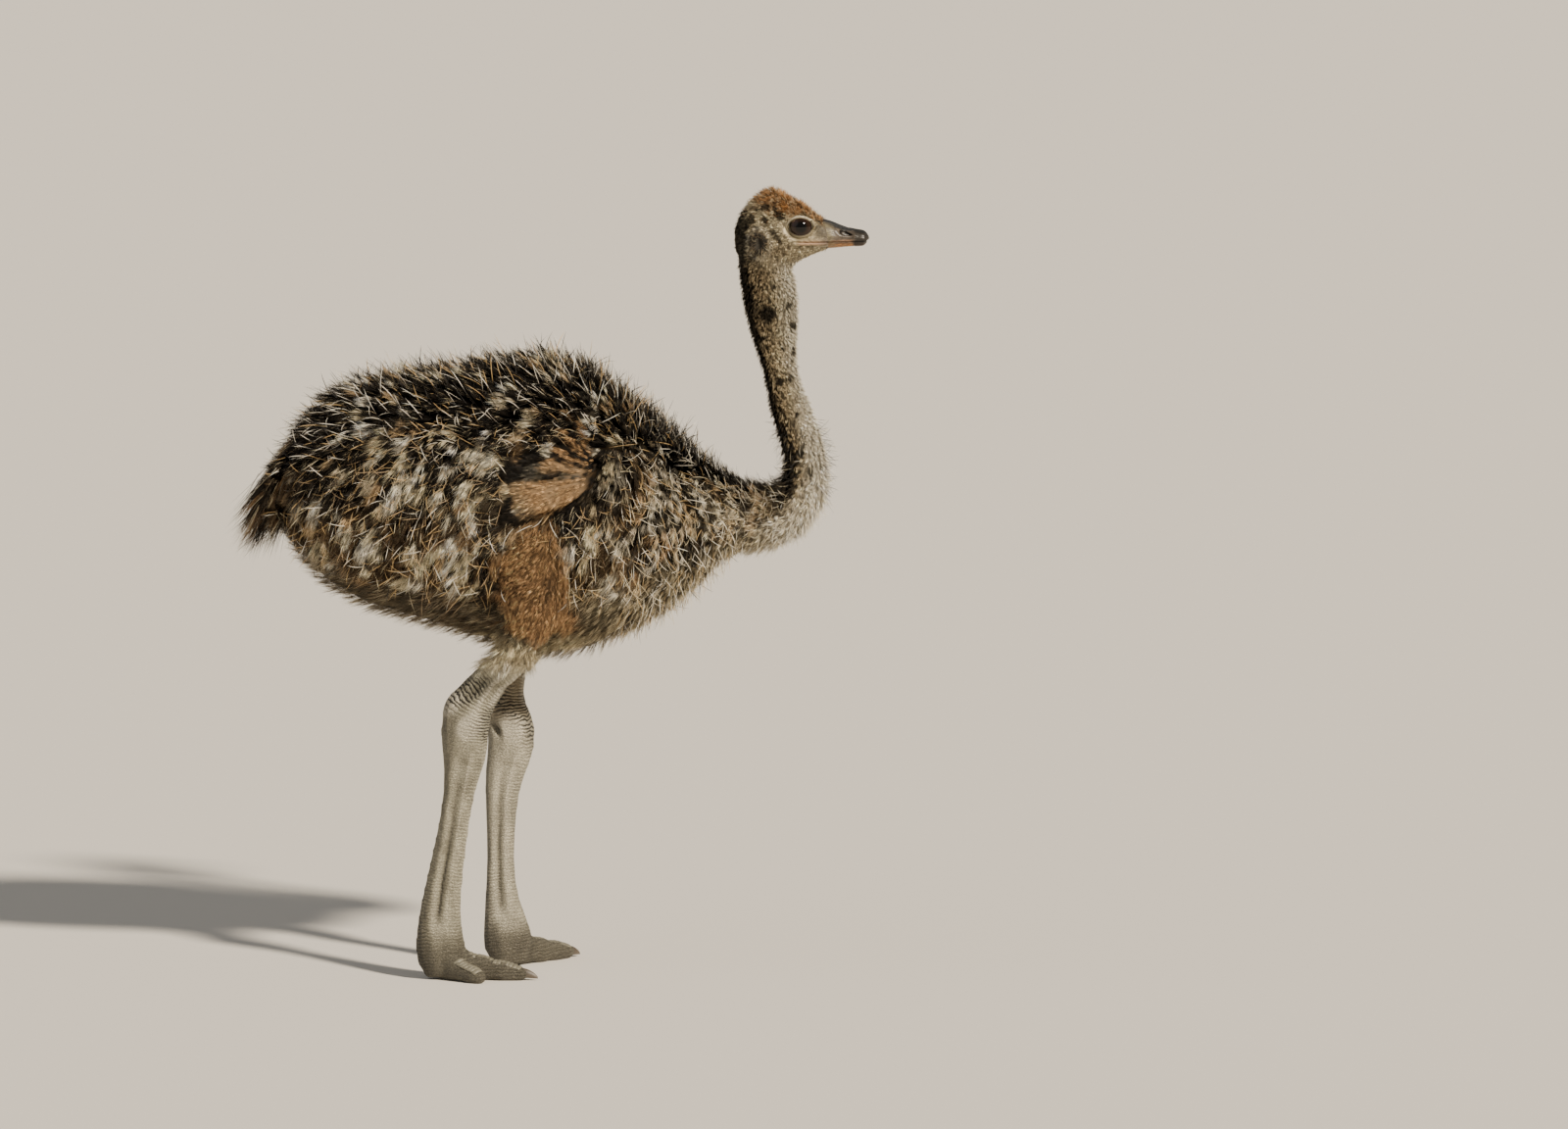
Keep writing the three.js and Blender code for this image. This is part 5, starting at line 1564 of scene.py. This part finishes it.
quills("ruff_ears", ear_ruff, 1.0, "head_down", 27, 5.5, 0.26, 0.3, [CREAM, TAN, EARTH, BROWN],
       swing=0.5, curled=0.5)

# ---------------------------------------------------------------- tail
# A short drooping tuft of limp dark plumes behind the rump, too soft yet to hold a shape.
TAIL_ROWS = 11
TAIL_PLUMES = 11  # in each row
TAIL_HALF = 24 * MM  # half the width of its root
TAIL_TOP = 0.02  # of its height, above the highest row
TAIL_ROW_STEP = 0.058  # of its height, from one row to the next
WISPS = 12  # thin plumes that stand away below
tail_low, tail_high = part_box("tail")
rng = np.random.default_rng(SEED + 30)
p, n, flow, long = [], [], [], []


def root_plume(aside, height, way, length):
    """Roots one plume where a level line from behind meets the rump."""
    hit, normal, _, _ = ground.ray_cast(Vector((2 * tail_low.x, aside, height)), Vector((1, 0, 0)))
    for kept, value in zip((p, n, flow, long), (hit, normal, way, length)):
        kept.append(value)


for row in range(TAIL_ROWS):
    z = tail_high.z - (TAIL_TOP + TAIL_ROW_STEP * row) * (tail_high.z - tail_low.z)
    for aside in np.linspace(-1, 1, TAIL_PLUMES):
        root_plume(aside * TAIL_HALF + rng.normal(0, 1.5 * MM), z + rng.normal(0, 2 * MM),
                   (-0.36 - 0.6 * rng.random() ** 2, 0.16 * aside + rng.normal(0, 0.09), -1.0),
                   rng.uniform(36, 64) * MM)
for aside in rng.uniform(-0.5, 0.5, WISPS):
    root_plume(aside * TAIL_HALF, tail_low.z + rng.uniform(25, 42) * MM, (-0.75, 0.5 * aside, -0.8),
               rng.uniform(34, 46) * MM)
p, flow, n, long = np.array(p), unit(np.array(flow)), np.array(n), np.array(long)
n = unit(n - flow * np.sum(n * flow, axis=1, keepdims=True))
colour = blend(BLACK, DARK, rng.random(len(p)), RUST, 0.4 * (rng.random(len(p)) < 0.2))
flat, core = unwrap(p), np.arange(len(p)) < len(p) - WISPS
plumes = []
for part, shape in (
    (core, {"barbs": 34, "width": 0.6 * MM, "lift": 0.14, "fan": 0.28, "bent": 0.7, "droop": 0.25,
            "stray": 0.04}),
    (~core, {"barbs": 9, "width": 0.45 * MM, "lift": 0.1, "fan": 0.25, "bent": 1.0, "droop": -0.4}),
):
    plumes += plume(p[part], n[part], flow[part], colour[part], flat[part], rng,
                    length=long[part], **shape)
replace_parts(weave("coat_tail", plumes, down, "tail_down"), "tail")

# ---------------------------------------------------------------- studio
# A pale floor and a pale surround, a soft key light from the right and towards the viewer.
FLOOR_HALF = 40.0
floor_mesh = bpy.data.meshes.new("floor")
corners = [(x * FLOOR_HALF, y * FLOOR_HALF, 0) for x, y in ((-1, -1), (1, -1), (1, 1), (-1, 1))]
floor_mesh.from_pydata(corners, [], [(0, 1, 2, 3)])
floor = bpy.data.objects.new("floor", floor_mesh)
bpy.context.scene.collection.objects.link(floor)
paper, tree = material("matt_paper_floor")
finish_material(tree, add_node(tree, "ShaderNodeBsdfPrincipled", Roughness=0.9,
                               Base_Color=(*linear("#e6e1d8"), 1)))
floor_mesh.materials.append(paper)

world = bpy.data.worlds.new("pale_studio")
world.use_nodes = True
surround = world.node_tree.nodes["Background"].inputs
surround["Color"].default_value = (*linear("#e9e6e0"), 1)
surround["Strength"].default_value = 0.28
bpy.context.scene.world = world


def sun(name, azimuth, elevation, strength, softness, colour, gleam=1.0):
    """A distant soft light. Azimuth 0 comes from the viewer and 90 from the bird's front."""
    lamp = bpy.data.lights.new(name, "SUN")
    lamp.energy = strength
    lamp.angle = math.radians(softness)
    lamp.color = linear(colour)
    lamp.specular_factor = gleam
    holder = bpy.data.objects.new(name, lamp)
    a, e = math.radians(azimuth), math.radians(elevation)
    back = Vector((math.sin(a) * math.cos(e), -math.cos(a) * math.cos(e), math.sin(e)))
    holder.rotation_euler = back.to_track_quat("Z", "Y").to_euler()
    bpy.context.scene.collection.objects.link(holder)


sun("key", 42, 36, 6.2, 5, "#fff1dc")
sun("fill", -60, 30, 0.35, 60, "#e8f0ff", gleam=0.0)

LENS = 400
SENSOR = 36
VIEW_WIDTH = 1.384  # of the picture at the bird
ELEVATION = math.radians(7)
target = Vector((0.202, 0, 0.3635))
camera = bpy.data.objects.new("camera", bpy.data.cameras.new("camera"))
camera.data.lens = LENS
camera.data.sensor_width = SENSOR
camera.data.clip_end = 200
distance = VIEW_WIDTH * LENS / SENSOR
back = Vector((0, -math.cos(ELEVATION), math.sin(ELEVATION)))
camera.location = target + back * distance
camera.rotation_euler = back.to_track_quat("Z", "Y").to_euler()
bpy.context.scene.collection.objects.link(camera)
bpy.context.scene.camera = camera
